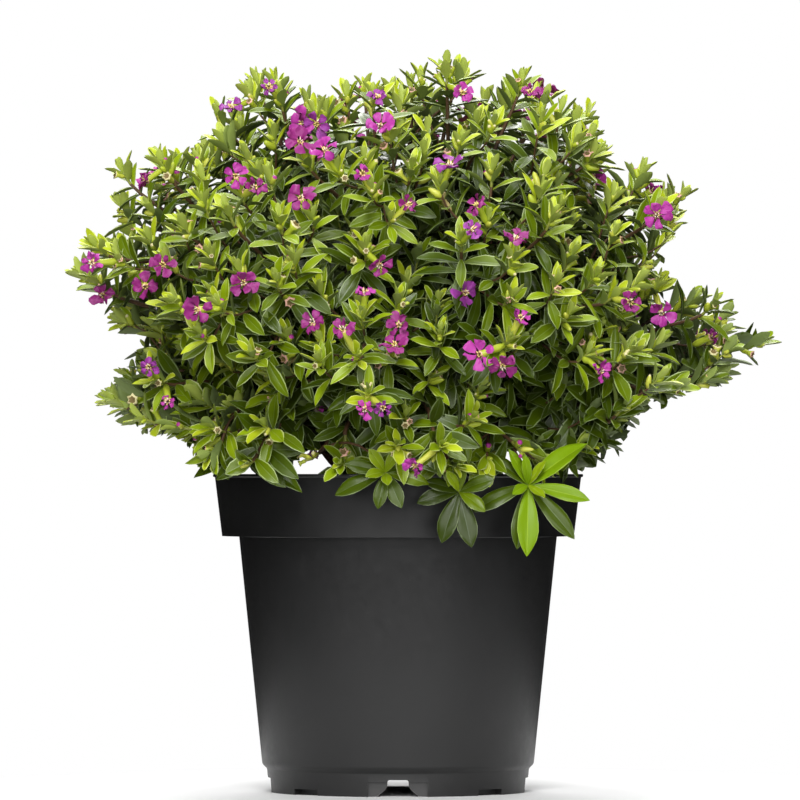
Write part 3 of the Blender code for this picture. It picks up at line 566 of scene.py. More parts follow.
class NodeBench:
    """Lays out the shader nodes of one material."""

    def __init__(self, name: str) -> None:
        """Starts a material that has only its shader and the object's own coordinates.

        Args:
            name: The material's name.
        """
        self.material = bpy.data.materials.new(name)
        self.material.use_nodes = True
        self.nodes = self.material.node_tree.nodes
        self.links = self.material.node_tree.links
        self.place = self.nodes.new("ShaderNodeTexCoord").outputs["Object"]

    def fill(self, node: Node, values: dict[str, object]) -> Node:
        """Sets a node's properties, and sets or links its input sockets.

        Args:
            node: The node.
            values: Each a property, or an input socket with its spaces as underscores.

        Returns:
            The node.
        """
        for key, value in values.items():
            socket = node.inputs.get(key.replace("_", " "))
            if socket is None:
                setattr(node, key, value)
            elif isinstance(value, NodeSocket):
                self.links.new(value, socket)
            else:
                socket.default_value = value
        return node

    def add(self, kind: str, **values: object) -> Node:
        """Returns a new node of this kind, filled with these values."""
        return self.fill(self.nodes.new(kind), values)

    def stretched(self, scale: tuple[float, float, float]) -> NodeSocket:
        """Returns the object's coordinates, scaled by a Mapping node."""
        return self.add("ShaderNodeMapping", Vector=self.place, Scale=scale).outputs["Vector"]

    def noise(self, scale: float, detail: float, roughness: float = 0.55,
              vector: NodeSocket | None = None) -> NodeSocket:
        """Returns a noise pattern with this many grains to the metre and this many finer layers."""
        return self.add("ShaderNodeTexNoise", Vector=vector or self.place, Scale=scale,
                        Detail=detail, Roughness=roughness).outputs["Fac"]

    def ramp(self, source: NodeSocket, *stops: tuple[float, Rgb]) -> NodeSocket:
        """Turns a pattern's value into colours.

        Args:
            source: The pattern's value.
            *stops: Each a place from 0 to 1 and its colour.

        Returns:
            The colour.
        """
        node = self.add("ShaderNodeValToRGB", Fac=source)
        elements = node.color_ramp.elements
        while len(elements) < len(stops):
            elements.new(0.5)
        for element, (place, colour) in zip(elements, stops):
            element.position = place
            element.color = (*colour, 1.0)
        return node.outputs["Color"]

    def spread(self, source: NodeSocket, low: float, high: float) -> NodeSocket:
        """Returns a pattern's value with its usual range, 0.3 to 0.7, mapped onto this one."""
        return self.add("ShaderNodeMapRange", Value=source, From_Min=0.3, From_Max=0.7,
                        To_Min=low, To_Max=high).outputs["Result"]

    def bump(self, height: NodeSocket, distance: float, strength: float,
             **coarser: NodeSocket) -> NodeSocket:
        """Returns relief this deep in metres and this strong, laid over the coarser relief's Normal."""
        return self.add("ShaderNodeBump", Height=height, Distance=distance, Strength=strength,
                        **coarser).outputs["Normal"]

    def finish(self, **values: object) -> Material:
        """Fills the shader's own sockets with these values, and returns the material."""
        self.fill(self.nodes["Principled BSDF"], values)
        return self.material


@dataclass(frozen=True)
class MouldedPlastic:
    """Satin black plastic, very slightly mottled and scuffed by handling."""

    name: str = "moulded_black_plastic"
    dark: Rgb = (0.0048, 0.0048, 0.0049)
    light: Rgb = (0.0070, 0.0070, 0.0071)
    roughness: tuple[float, float] = (0.36, 0.45)
    mottle_scale: float = 38.0
    drawn_scale: float = 90.0
    grain_scale: float = 1500.0
    grain_depth: float = 0.00004
    scuff_scale: float = 260.0

    def material(self) -> Material:
        """Builds the finish.

        Returns:
            The material.
        """
        bench = NodeBench(self.name)
        mottle = bench.noise(self.mottle_scale, 5.0)
        drawn = bench.noise(self.drawn_scale, 4.0, vector=bench.stretched((1.0, 1.0, 0.12)))
        grain = bench.noise(self.grain_scale, 2.0)
        scuffs = bench.noise(self.scuff_scale, 6.0, 0.75)
        colour = bench.ramp(mottle, (0.30, self.dark), (0.72, self.light))
        worn = bench.spread(scuffs, *self.roughness)
        relief = bench.bump(grain, self.grain_depth, 0.25, Normal=bench.bump(drawn, 0.00012, 0.18))
        return bench.finish(Base_Color=colour, Roughness=worn, Normal=relief, Specular_IOR_Level=0.50)


@dataclass(frozen=True)
class PottingSoil:
    """Dark peaty soil, its colour broken up by lighter bits and its surface by fibres."""

    name: str = "potting_soil"
    dark: Rgb = (0.010, 0.007, 0.005)
    middle: Rgb = (0.030, 0.019, 0.012)
    light: Rgb = (0.085, 0.058, 0.036)
    clod_scale: float = 260.0
    fibre_scale: float = 900.0

    def material(self) -> Material:
        """Builds the finish.

        Returns:
            The material.
        """
        bench = NodeBench(self.name)
        clods = bench.noise(self.clod_scale, 7.0, 0.68)
        fibres = bench.noise(self.fibre_scale, 4.0, vector=bench.stretched((1.0, 0.3, 1.0)))
        colour = bench.ramp(clods, (0.32, self.dark), (0.52, self.middle), (0.78, self.light))
        relief = bench.bump(fibres, 0.0004, 0.7, Normal=bench.bump(clods, 0.0010, 0.8))
        return bench.finish(Base_Color=colour, Normal=relief, Roughness=0.94, Specular_IOR_Level=0.2)


@dataclass(frozen=True)
class Bark:
    """Reddish-brown bark of a small shrub, greyer along its flaking ridges."""

    name: str = "shrub_bark"
    furrow: Rgb = (0.030, 0.014, 0.010)
    body: Rgb = (0.115, 0.050, 0.034)
    ridge: Rgb = (0.250, 0.165, 0.125)
    flake_scale: float = 520.0
    fine_scale: float = 2100.0

    def material(self) -> Material:
        """Builds the finish.

        Returns:
            The material.
        """
        bench = NodeBench(self.name)
        along = bench.stretched((1.0, 1.0, 0.22))
        flakes = bench.noise(self.flake_scale, 6.0, 0.65, along)
        fine = bench.noise(self.fine_scale, 3.0, vector=along)
        colour = bench.ramp(flakes, (0.34, self.furrow), (0.52, self.body), (0.74, self.ridge))
        relief = bench.bump(fine, 0.00010, 0.6, Normal=bench.bump(flakes, 0.00035, 0.8))
        return bench.finish(Base_Color=colour, Normal=relief, Roughness=bench.spread(flakes, 0.62, 0.85))


@dataclass(frozen=True)
class PlainFinish:
    """One plain base colour: the crown's colours are dealt out by spray, so none follows a pattern."""

    name: str
    colour: Rgb
    roughness: float = 0.45
    gloss: float = 0.5

    def material(self) -> Material:
        """Returns the finish as a material, made when it is first asked for."""
        return bpy.data.materials.get(self.name) or NodeBench(self.name).finish(
            Base_Color=(*self.colour, 1.0), Roughness=self.roughness, Specular_IOR_Level=self.gloss)


class Role(Enum):
    """The parts of one leaf that have a colour of their own; the margin's pale colour is partly a painted
    highlight along the leaf's edge.
    """

    BLADE = 0
    # The margin's pale colour is partly a painted highlight along the leaf's edge
    MARGIN = 1
    MIDRIB = 2
    UNDERSIDE = 3


# Each tint's blade, margin, midrib and underside: colour, roughness and, where it isn't 0.5, gloss. The
# margin's colour is a pale margin with a painted highlight along the leaf's edge.
LEAF_LOOKS = {
    LIME: (
        ((0.400, 0.480, 0.014), 0.42, 0.36), ((0.560, 0.620, 0.170), 0.45),
        ((0.470, 0.550, 0.080), 0.45), ((0.370, 0.450, 0.080), 0.50),
    ),
    FRESH: (
        ((0.215, 0.302, 0.004), 0.40, 0.28), ((0.430, 0.500, 0.160), 0.45),
        ((0.255, 0.345, 0.035), 0.42), ((0.240, 0.310, 0.070), 0.50),
    ),
    GREEN: (
        ((0.099, 0.149, 0.001), 0.37, 0.26), ((0.270, 0.345, 0.110), 0.42),
        ((0.122, 0.182, 0.018), 0.40), ((0.150, 0.200, 0.055), 0.50),
    ),
    DARK: (
        ((0.049, 0.080, 0.001), 0.35, 0.27), ((0.175, 0.235, 0.085), 0.42),
        ((0.062, 0.100, 0.014), 0.38), ((0.110, 0.145, 0.050), 0.50),
    ),
    DEEP: (
        ((0.026, 0.043, 0.001), 0.35, 0.27), ((0.110, 0.145, 0.050), 0.45),
        ((0.034, 0.056, 0.010), 0.42), ((0.075, 0.105, 0.035), 0.52),
    ),
    LUSH: (
        ((0.155, 0.262, 0.003), 0.40, 0.16), ((0.250, 0.360, 0.040), 0.48, 0.20),
        ((0.220, 0.330, 0.015), 0.48, 0.15), ((0.160, 0.240, 0.060), 0.50),
    ),
}
LEAF_FINISHES = [PlainFinish(f"{tint.name}_{role.name}".lower(), *look)
                 for tint in Tint for role, look in zip(Role, LEAF_LOOKS[tint])]
TWIG_FINISHES = (
    # The old wood's dark colour is partly older bark and partly painted shade inside the crown
    PlainFinish("old_twig", (0.036, 0.021, 0.012), 0.75, 0.3),
    PlainFinish("red_twig", (0.090, 0.046, 0.020), 0.60, 0.4),
    PlainFinish("green_twig", (0.200, 0.220, 0.035), 0.50, 0.4),
)
TUBE_FINISHES = (
    PlainFinish("tube_lime", (0.380, 0.450, 0.030), 0.42),
    PlainFinish("tube_yellow", (0.480, 0.500, 0.060), 0.42),
    PlainFinish("tube_mouth_cream", (0.620, 0.560, 0.290), 0.50),
    PlainFinish("tube_mouth_pink", (0.700, 0.400, 0.300), 0.50),
    PlainFinish("tube_throat", (0.160, 0.110, 0.030), 0.60),
    PlainFinish("tube_spent", (0.300, 0.250, 0.080), 0.65),
    PlainFinish("bud_magenta", (0.330, 0.030, 0.220), 0.55, 0.35),
)
PETAL_FINISHES = (
    PlainFinish("petal_bright", (0.385, 0.036, 0.285), 0.50, 0.35),
    PlainFinish("petal_mid", (0.255, 0.020, 0.165), 0.50, 0.35),
    PlainFinish("petal_violet", (0.265, 0.038, 0.265), 0.50, 0.35),
    PlainFinish("petal_claw", (0.200, 0.010, 0.100), 0.60, 0.25),
    PlainFinish("anther_gold", (0.760, 0.600, 0.200), 0.60, 0.3),
    PlainFinish("filament_cream", (0.800, 0.680, 0.520), 0.60, 0.3),
)
CRUMB_FINISHES = (
    PlainFinish("peat_black", (0.012, 0.009, 0.007), 0.95, 0.2),
    PlainFinish("peat_brown", (0.040, 0.024, 0.014), 0.95, 0.2),
    PlainFinish("bark_chip", (0.110, 0.062, 0.034), 0.90, 0.2),
    PlainFinish("perlite", (0.620, 0.600, 0.560), 0.90, 0.3),
)


@dataclass(frozen=True)
class Faces:
    """The faces of one small shape: their corners, how many each face has, and its part."""

    corners: np.ndarray
    totals: np.ndarray
    parts: np.ndarray

    @classmethod
    def listed(cls, rows: Sequence[tuple[Sequence[int], int]]) -> "Faces":
        """Returns the faces of a list that has each one's corners and its part."""
        return cls(np.array([corner for face, _ in rows for corner in face]),
                   np.array([len(face) for face, _ in rows]), np.array([part for _, part in rows]))


@dataclass
class JoinedMesh:
    """Gathers many small shapes as arrays and makes one mesh of them."""

    name: str
    parts: list[tuple[np.ndarray, ...]] = field(default_factory=list)
    count: int = 0

    def add(self, points: np.ndarray, faces: Faces, slots: np.ndarray,
            rims: np.ndarray | None = None) -> None:
        """Adds copies of one shape.

        Args:
            points: Each copy's points, as copies by points by 3.
            faces: The shape's faces.
            slots: The faces' material slots, for each copy or for all of them.
            rims: Which of the shape's points lie on a sharp rim.
        """
        copies, size, _ = points.shape
        starts = self.count + size * np.arange(copies)[:, None]
        self.parts.append((
            points.reshape(-1, 3), (starts + faces.corners[None, :]).ravel(), np.tile(faces.totals, copies),
            np.broadcast_to(slots, (copies, len(faces.totals))).ravel(),
            np.tile(np.zeros(size, bool) if rims is None else rims, copies)))
        self.count += copies * size

    def build(self, finishes: Iterable[PlainFinish]) -> Object:
        """Makes the object.

        Args:
            finishes: The finishes of its slots, in order.

        Returns:
            The object, standing in the shared frame.
        """
        points, corners, totals, slots, rims = map(np.concatenate, zip(*self.parts))
        mesh = bpy.data.meshes.new(self.name)
        mesh.vertices.add(len(points))
        mesh.vertices.foreach_set("co", (points + np.array(POT_AXIS)).astype(np.float32).ravel())
        mesh.loops.add(len(corners))
        mesh.loops.foreach_set("vertex_index", corners.astype(np.int32))
        mesh.polygons.add(len(totals))
        mesh.polygons.foreach_set("loop_start", (np.cumsum(totals) - totals).astype(np.int32))
        mesh.polygons.foreach_set("material_index", slots.astype(np.int32))
        mesh.update(calc_edges=True)
        mesh.shade_smooth()
        ends = np.zeros(len(mesh.edges) * 2, np.int32)
        mesh.edges.foreach_get("vertices", ends)
        sharp = rims[ends].reshape(-1, 2).all(axis=1)
        mesh.attributes.new("sharp_edge", "BOOLEAN", "EDGE").data.foreach_set("value", sharp)
        for finish in finishes:
            mesh.materials.append(finish.material())
        obj = bpy.data.objects.new(self.name, mesh)
        bpy.context.scene.collection.objects.link(obj)
        return obj


@dataclass(frozen=True)
class BladeCopies:
    """Where and how the copies of a blade stand: each field has one row or value for each copy.

    root and way place a copy, and face_up is roughly where its upper face looks. curl is how far it
    bends down over its length and twist how far it turns about it, both in radians, and fold is how
    steeply its halves rise from the midrib.
    """

    root: np.ndarray
    way: np.ndarray
    face_up: np.ndarray
    length: np.ndarray
    width: np.ndarray
    curl: np.ndarray
    fold: np.ndarray
    twist: np.ndarray


def unit_rows(vectors: np.ndarray) -> np.ndarray:
    """Returns each row scaled to length 1."""
    return vectors / np.maximum(np.linalg.norm(vectors, axis=1, keepdims=True), 1e-9)


@dataclass(frozen=True)
class Blade:
    """A closed thin blade: lengthwise strips on top and a plain underside, pinched at both ends.

    stations and swells give its half width along it, rails the strips' edges from -1 to 1, and
    strip_roles the part that each strip belongs to.
    """

    stations: tuple[float, ...]
    swells: tuple[float, ...]
    rails: tuple[float, ...]
    strip_roles: tuple[Role, ...]

    def layout(self) -> tuple[np.ndarray, np.ndarray, np.ndarray, np.ndarray, np.ndarray]:
        """Lists the blade's points.

        Returns:
            Each point's place along it, place across it, half width there, share of its
            thickness below it, and whether it lies on the rim.
        """
        rows = [(0.0, 0.0, 0.0, 0.0, 1.0)]
        for place, swell in zip(self.stations, self.swells):
            rows += [(place, rail, swell, 0.0, float(abs(rail) == 1.0)) for rail in self.rails]
            rows.append((place, 0.0, swell, 1.0, 0.0))
        rows.append((1.0, 0.0, 0.0, 0.0, 1.0))
        along, across, swells, below, rim = np.array(rows).T
        return along, across, swells, below, rim > 0.5

    def faces(self) -> Faces:
        """Lists the blade's faces, all pointing outwards.

        Returns:
            The faces, each with its role as its part.
        """
        wide = len(self.rails)
        row = wide + 1
        last = 1 + row * len(self.stations)
        end = last - row
        rows: list[tuple[tuple[int, ...], int]] = []
        for strip, role in enumerate(self.strip_roles):
            rows.append(((0, strip + 2, strip + 1), role.value))
            for low in range(1 + strip, end + strip, row):
                rows.append(((low, low + 1, low + row + 1, low + row), role.value))
            rows.append(((end + strip, end + strip + 1, last), role.value))
        under = Role.UNDERSIDE.value
        for left, right in ((0, wide), (wide, wide - 1)):
            rows.append(((0, 1 + left, 1 + right), under))
            for start in range(1, end, row):
                rows.append(((start + left, start + row + left, start + row + right, start + right), under))
            rows.append(((end + left, last, end + right), under))
        return Faces.listed(rows)

    def placed(self, copies: BladeCopies, thickness: float, crinkle: np.ndarray) -> np.ndarray:
        """Places many copies of the blade.

        Args:
            copies: How the copies stand.
            thickness: The thickness of every copy.
            crinkle: How far each point of each copy is pushed off its face.

        Returns:
            The points, as copies by points by 3.
        """
        along, across, swell, below, _ = self.layout()
        length, width = copies.length[:, None], copies.width[:, None]
        way = unit_rows(copies.way)
        side = unit_rows(np.cross(way, copies.face_up))
        normal = np.cross(side, way)
        bend = np.where(np.abs(copies.curl) < 0.01, 0.01, copies.curl)[:, None]
        angle = bend * along[None, :]
        offset = across[None, :] * swell[None, :] * width / 2
        dome = QUILT * np.abs(across) * (1.0 - np.abs(across)) * swell
        rise = copies.fold[:, None] * np.abs(offset) + dome[None, :] * width - below[None, :] * thickness
        rise = rise + crinkle * (swell > 0.0)[None, :] * (below == 0.0)[None, :]
        turn = copies.twist[:, None] * along[None, :]
        sideways = offset * np.cos(turn) - rise * np.sin(turn)
        outwards = offset * np.sin(turn) + rise * np.cos(turn)
        forward = length * np.sin(angle) / bend + outwards * np.sin(angle)
        lift = -length * (1.0 - np.cos(angle)) / bend + outwards * np.cos(angle)
        return (copies.root[:, None, :] + forward[..., None] * way[:, None, :]
                + sideways[..., None] * side[:, None, :] + lift[..., None] * normal[:, None, :])


GROWN_BLADE = Blade(
    stations=(0.09, 0.27, 0.50, 0.72, 0.90),
    swells=(0.28, 0.70, 1.00, 0.90, 0.44),
    rails=(-1.0, -0.84, -0.07, 0.07, 0.84, 1.0),
    strip_roles=(Role.MARGIN, Role.BLADE, Role.MIDRIB, Role.BLADE, Role.MARGIN),
)
YOUNG_BLADE = Blade(
    stations=(0.12, 0.38, 0.68, 0.91),
    swells=(0.34, 0.82, 1.00, 0.54),
    rails=(-1.0, -0.80, 0.0, 0.80, 1.0),
    strip_roles=(Role.MARGIN, Role.BLADE, Role.BLADE, Role.MARGIN),
)
INNER_BLADE = Blade(
    stations=(0.14, 0.52, 0.86),
    swells=(0.40, 1.00, 0.66),
    rails=(-1.0, -0.80, 0.0, 0.80, 1.0),
    strip_roles=(Role.MARGIN, Role.BLADE, Role.BLADE, Role.MARGIN),
)
PETAL_BLADE = Blade(
    stations=(0.20, 0.48, 0.74, 0.93),
    swells=(0.24, 0.74, 1.00, 0.78),
    rails=(-1.0, -0.5, 0.0, 0.5, 1.0),
    strip_roles=(Role.BLADE, Role.BLADE, Role.BLADE, Role.BLADE),
)
RIM_BLADE = Blade(
    stations=(0.06, 0.15, 0.27, 0.40, 0.53, 0.66, 0.78, 0.88, 0.96),
    swells=(0.20, 0.40, 0.64, 0.84, 0.97, 1.00, 0.84, 0.55, 0.22),
    rails=(-1.0, -0.94, -0.50, -0.04, 0.04, 0.50, 0.94, 1.0),
    strip_roles=(Role.MARGIN, Role.BLADE, Role.BLADE, Role.MIDRIB, Role.BLADE, Role.BLADE, Role.MARGIN),
)
QUILT = 0.28
LEAF_THICKNESS = 0.00032
LEAF_CRINKLE = 0.00011
PETAL_THICKNESS = 0.00020

# The places along a leaf that are tested, and the space of an open flower that no leaf may fill:
# from behind its middle to before it, and to each side
LEAF_PLACES = (0.35, 0.7, 1.0)
FLOWER_PLACES = (0.3, 0.65, 1.0)
FLOWER_BEHIND = 0.001
FLOWER_BEFORE = 0.012
FLOWER_ASIDE = 0.0036


@dataclass
class Shoot:
    """A stem, twig or finer shoot: where it runs, its radius at each end and how old its end is; its shade
    darkens its leaves' tints, partly for age and partly as painted shade inside the crown.
    """

    spray: Spray
    course: list[Vector]
    radii: tuple[float, float]
    shade: float = 0.0
    vigour: float = 1.0

    @property
    def length(self) -> float:
        """Returns the shoot's length."""
        return course_length(self.course)


@dataclass
class Leaf:
    """One leaf, before it is meshed."""

    spray: Spray
    root: Vector
    way: Vector
    face_up: Vector
    length: float
    width: float
    curl: float
    fold: float
    twist: float
    tint: Tint
    blade: Blade

    def at(self, share: float, curl: float = 0.0) -> Vector:
        """Returns the place at this share of the leaf's length, with this much of a curl."""
        return self.root + (self.way + UP * (-0.25 * curl) * share * share) * (self.length * share)

    def is_free(self) -> bool:
        """Tells whether the leaf touches neither pot nor soil, and keeps to the crown's outline.

        Returns:
            Whether it does.
        """
        slack = LEAF_SLACK + LEAF_STRAY * self.twist
        return inside_crown(self.spray, self.at(1.0), LEAF_OVERHANG) and all(
            is_free(self.at(share, self.curl), slack, LEAF_FLOOR) for share in LEAF_PLACES)


@dataclass
class FlowerTube:
    """One flower tube: a closed bud, an open tube or a spent one."""

    root: Vector
    way: Vector
    length: float
    radius: float
    mouth: float
    side_slot: int
    mouth_slot: int


@dataclass
class Flower:
    """One open flower at the end of its tube."""

    centre: Vector
    way: Vector
    radius: float
    turn: float

    def is_hidden_by(self, point: Vector) -> bool:
        """Tells whether a point stands in the flower or close before it.

        Args:
            point: The point.

        Returns:
            Whether it does.
        """
        along = (point - self.centre).dot(self.way)
        aside = point - self.centre - self.way * along
        return -FLOWER_BEHIND < along < FLOWER_BEFORE and aside.length < FLOWER_ASIDE


def clears_pot(point: Vector) -> bool:
    """Tells whether a point stays off the pot, its rim and the soil.

    Args:
        point: The point.

    Returns:
        Whether it does.
    """
    out, mouth = math.hypot(point.x, point.y), BAND_FOOT_RADIUS - WALL - POT_MARGIN
    return (point.z >= POT_HEIGHT + POT_MARGIN or out > LIP_RADIUS + POT_MARGIN
            or (out < mouth and point.z > SOIL_TOP + POT_MARGIN))


def inside_crown(spray: Spray, point: Vector, slack: float = 0.0) -> bool:
    """Tells whether a spray's point keeps between the crown's sides and above its underside.

    Args:
        spray: The spray.
        point: The point.
        slack: How far outside it may be.

    Returns:
        Whether it does.
    """
    foot = CROWN_FOOT + CROWN_FOOT_SLOPE * max(0.0, math.hypot(point.x, point.y) - CROWN_FOOT_RADIUS)
    return (CROWN_LEFT - slack <= point.x <= CROWN_RIGHT + slack
            and point.z >= min(spray.tip.z - HANG, foot) - slack)


def shows_sky(point: Vector) -> bool:
    """Tells whether a point would stand in one of the photograph's gaps."""
    return any(gap.holds(point) for gap in SKY_GAPS)


def is_free(point: Vector, slack: float, lowest: float) -> bool:
    """Tells whether a point clears the pot and the gaps, and keeps to the photograph's outline."""
    return (clears_pot(point) and not shows_sky(point) and in_outline(point, slack)
            and not over_rim(point, lowest))


class SprayLimbs:
    """The limbs of one spray: the source's stem and twigs first, and then the finer shoots."""

    def __init__(self, spray: Spray) -> None:
        """Works out the planes between this spray's direction and each other one's.

        Args:
            spray: The spray.
        """
        self.spray = spray
        self.planes = [(spray.aim - other.aim).normalized() for other in SPRAYS if other is not spray]
        self.shoots: list[Shoot] = []
        self.rng = Random(f"{SEED} {spray.name}")

    def holds(self, point: Vector, margin: float) -> bool:
        """Tells whether a point keeps this far inside the space that is nearest to the spray."""
        return all((point - HEART).dot(plane) >= margin for plane in self.planes)

    def tip_at(self, way: Vector, far: float) -> Vector:
        """Returns the place this far from the heart, lowered as the spray's end hangs."""
        return HEART + way * far - TWIG_HANG * self.spray.droop_drop

    def twig_ends(self) -> list[Vector]:
        """Finds the tips of the source's four twigs, by the same draws.

        Returns:
            The tips.
        """
        aim = self.spray.aim
        ends = []
        for wide, out in spiral(aim, self.rng.uniform(0.0, math.tau), TWIGS, TWIG_OFFSET, TWIG_SPREAD):
            for drawn_in in TWIG_DRAWN_IN:
                way = aim * math.cos(wide * drawn_in) + out * math.sin(wide * drawn_in)
                tip = self.tip_at(way, self.spray.lobe_limit(way) * self.rng.uniform(*TWIG_REACHES))
                if self.holds(tip, TWIG_TIP_MARGIN) and clears_pot(tip):
                    ends.append(tip)
                    break
        return ends

    def carried_on(self, course: list[Vector], tip: Vector) -> list[Vector]:
        """Carries a course of the source on to a young shoot's end.

        Args:
            course: The source's stem or twig.
            tip: Where its last leaf tips reach.

        Returns:
            The whole course.
        """
        while len(course) > 2 and over_rim(course[-1], TIP_FLOOR):
            course = course[:-1]
        start = course[-1]
        way = (start - course[-2]).normalized()
        arrive = self.spray.upturned(way)
        tips = [start + (tip - start) * share for share in CARRIED_DRAWN_IN]
        fitting = [tip for tip in tips if in_outline(tip, TIP_SLACK) and not over_rim(tip, TIP_FLOOR)]
        if not fitting:
            return lifted(course)
        end = fitting[0] - arrive * ROSETTE_REACH
        pull = (end - start).length
        young = bezier(start, start + way * pull * YOUNG_PULL, end - arrive * pull * YOUNG_PULL, end,
                       YOUNG_KNOTS)
        return lifted(course + young[1:])

    def lay_leaders(self) -> None:
        """Lays the spray's stem and its four twigs."""
        stem = self.spray.stem_course()
        whole = course_length(stem)
        self.shoots.append(Shoot(self.spray, self.carried_on(stem, self.spray.tip), STEM_RADII))
        for index, end in enumerate(self.twig_ends()):
            start, _ = point_back(stem, whole * (FIRST_TWIG - TWIG_ZONE * index / TWIGS))
            if over_rim(start, TIP_FLOOR):
                continue
            run = end - start
            stop = start + run * max(SHORTEST_TWIG, 1.0 - LEAF_ROOM / run.length)
            course = self.carried_on([start, start.lerp(stop, 0.5), stop], end)
            self.shoots.append(Shoot(self.spray, course, TWIG_RADII))

    def suits(self, tip: Vector) -> bool:
        """Tells whether a finer shoot may end here."""
        return (self.holds(tip, FINE_WEDGE_MARGIN) and inside_crown(self.spray, tip)
                and is_free(tip, TIP_SLACK, TIP_FLOOR))

    def fine_tips(self, reaches: tuple[float, float], gap: float, taken: list[Vector]) -> list[Vector]:
        """Spreads the ends of finer shoots over the spray's space.

        Args:
            reaches: How far out they reach, as shares of the spray's own limit.
            gap: The least distance between two ends.
            taken: The ends that are already there, to which the new ones are added.

        Returns:
            The new ends.
        """
        aim = self.spray.aim
        first = self.rng.uniform(0.0, math.tau)
        found = []
        for wide, out in spiral(aim, first, FINE_CANDIDATES, FINE_OFFSET, FINE_SPREAD):
            way = aim * math.cos(wide) + out * math.sin(wide)
            far = self.spray.lobe_limit(way) * self.rng.uniform(*reaches)
            tips = (self.tip_at(way, far * drawn_in) for drawn_in in FINE_DRAWN_IN)
            tip = next((place for place in tips if self.suits(place)), None)
            if tip is not None and all((tip - other).length > gap for other in taken):
                found.append(tip)
                taken.append(tip)
        return found

    def lay_fine(self, tip: Vector, shade: float) -> None:
        """Lays one finer shoot from the limb that is nearest behind its tip, where one is.

        Args:
            tip: Where its last leaf tips reach.
            shade: How much darker than others its leaves' tints are, partly for age and partly as painted
                shade.
        """
        way = (tip - HEART).normalized()
        wanted = tip - way * self.rng.uniform(*FINE_LENGTHS)
        parts = [(low.lerp(high, 0.5), high - low) for limb in self.shoots
                 for low, high in zip(limb.course, limb.course[1:])]
        behind = [(place, run) for place, run in parts if (tip - place).length >= SHORTEST_FINE
                  and (tip - place).dot(way) >= 0.5 * SHORTEST_FINE]
        if not behind:
            return
        start, parent_run = min(behind, key=lambda part: (part[0] - wanted).length)
        arrive = self.spray.upturned(way)
        end = tip - arrive * ROSETTE_REACH
        span = (end - start).length
        leaving = (parent_run.normalized() * PARENT_PULL + (end - start).normalized()).normalized()
        course = lifted(bezier(start, start + leaving * span * FINE_PULL, end - arrive * span * FINE_PULL,
                               end, FINE_KNOTS))
        if all(clears_pot(point) and not shows_sky(point) for point in course):
            self.shoots.append(Shoot(self.spray, course, FINE_RADII, shade, self.rng.uniform(*FINE_VIGOUR)))


@dataclass
class Framework:
    """The woody framework: the courses of the trunk and of each spray's bough."""

    def trunk_course(self) -> tuple[list[Vector], list[float]]:
        """Lays the trunk by the source's rule.

        Returns:
            Its points and radii.
        """
        tip = LEADER.bough_tip
        way = LEADER.stem_direction
        points = bezier(TRUNK_FOOT, TRUNK_BEND, tip - way * TRUNK_LAST_STRETCH, tip, TRUNK_KNOTS)
        points[0] = TRUNK_FOOT.copy()
        points[1] = TRUNK_FOOT + UP * (0.25 * TRUNK_FLARE_HEIGHT)
        points[-2] = tip - way * (points[-1] - points[-2]).length
        radii = []
        for point in points:
            above = point.z - TRUNK_FOOT.z
            flare = max(0.0, 1.0 - above / TRUNK_FLARE_HEIGHT) ** 2
            radius = TRUNK_RADIUS + (TRUNK_TIP_RADIUS - TRUNK_RADIUS) * above / (tip.z - TRUNK_FOOT.z)
            radii.append(radius + flare * (TRUNK_FLARE_RADIUS - TRUNK_RADIUS))
        return points, radii

    def trunk_at(self, height: float) -> Vector:
        """Finds the middle of the trunk at a height.

        Args:
            height: The height.

        Returns:
            The place.
        """
        points, _ = self.trunk_course()
        for low, high in zip(points, points[1:]):
            if low.z <= height <= high.z:
                return low.lerp(high, (height - low.z) / (high.z - low.z))
        return points[-1].copy()

    def leaving_heights(self) -> dict[str, float]:
        """Finds the height at which each spray's bough leaves the trunk, low ones first.

        Returns:
            The heights by the sprays' names.
        """
        by_rise = sorted(SPRAYS[1:], key=lambda spray: spray.aim.z)
        step = (HIGHEST_BOUGH - LOWEST_BOUGH) / (len(by_rise) - 1)
        return {spray.name: LOWEST_BOUGH + step * rank for rank, spray in enumerate(by_rise)}

    def bough_course(self, spray: Spray, height: float) -> tuple[list[Vector], list[float]]:
        """Lays the bough that carries a spray.

        Args:
            spray: The spray.
            height: Where the bough leaves the trunk.

        Returns:
            Its points and radii.
        """
        start = self.trunk_at(height)
        end = spray.bough_tip
        aim = spray.aim
        outward = Vector((aim.x, aim.y, 0.0)).normalized()
        span = (end - start).length
        climb = min(GREATEST_CLIMB, 0.2 + max(0.0, aim.z) / (1.2 - aim.z))
        leaving = (outward + UP * climb).normalized()
        start_pull = start + leaving * span * BOUGH_LEAVING_PULL
        end_pull = end - spray.stem_direction * span * BOUGH_ARRIVING_PULL
        points = bezier(start, start_pull, end_pull, end, BOUGH_KNOTS)
        high = (height - LOWEST_BOUGH) / (HIGHEST_BOUGH - LOWEST_BOUGH)
        return points, tapered(BOUGH_RADIUS - BOUGH_THINNING * high, BOUGH_TIP_RADIUS, BOUGH_KNOTS)


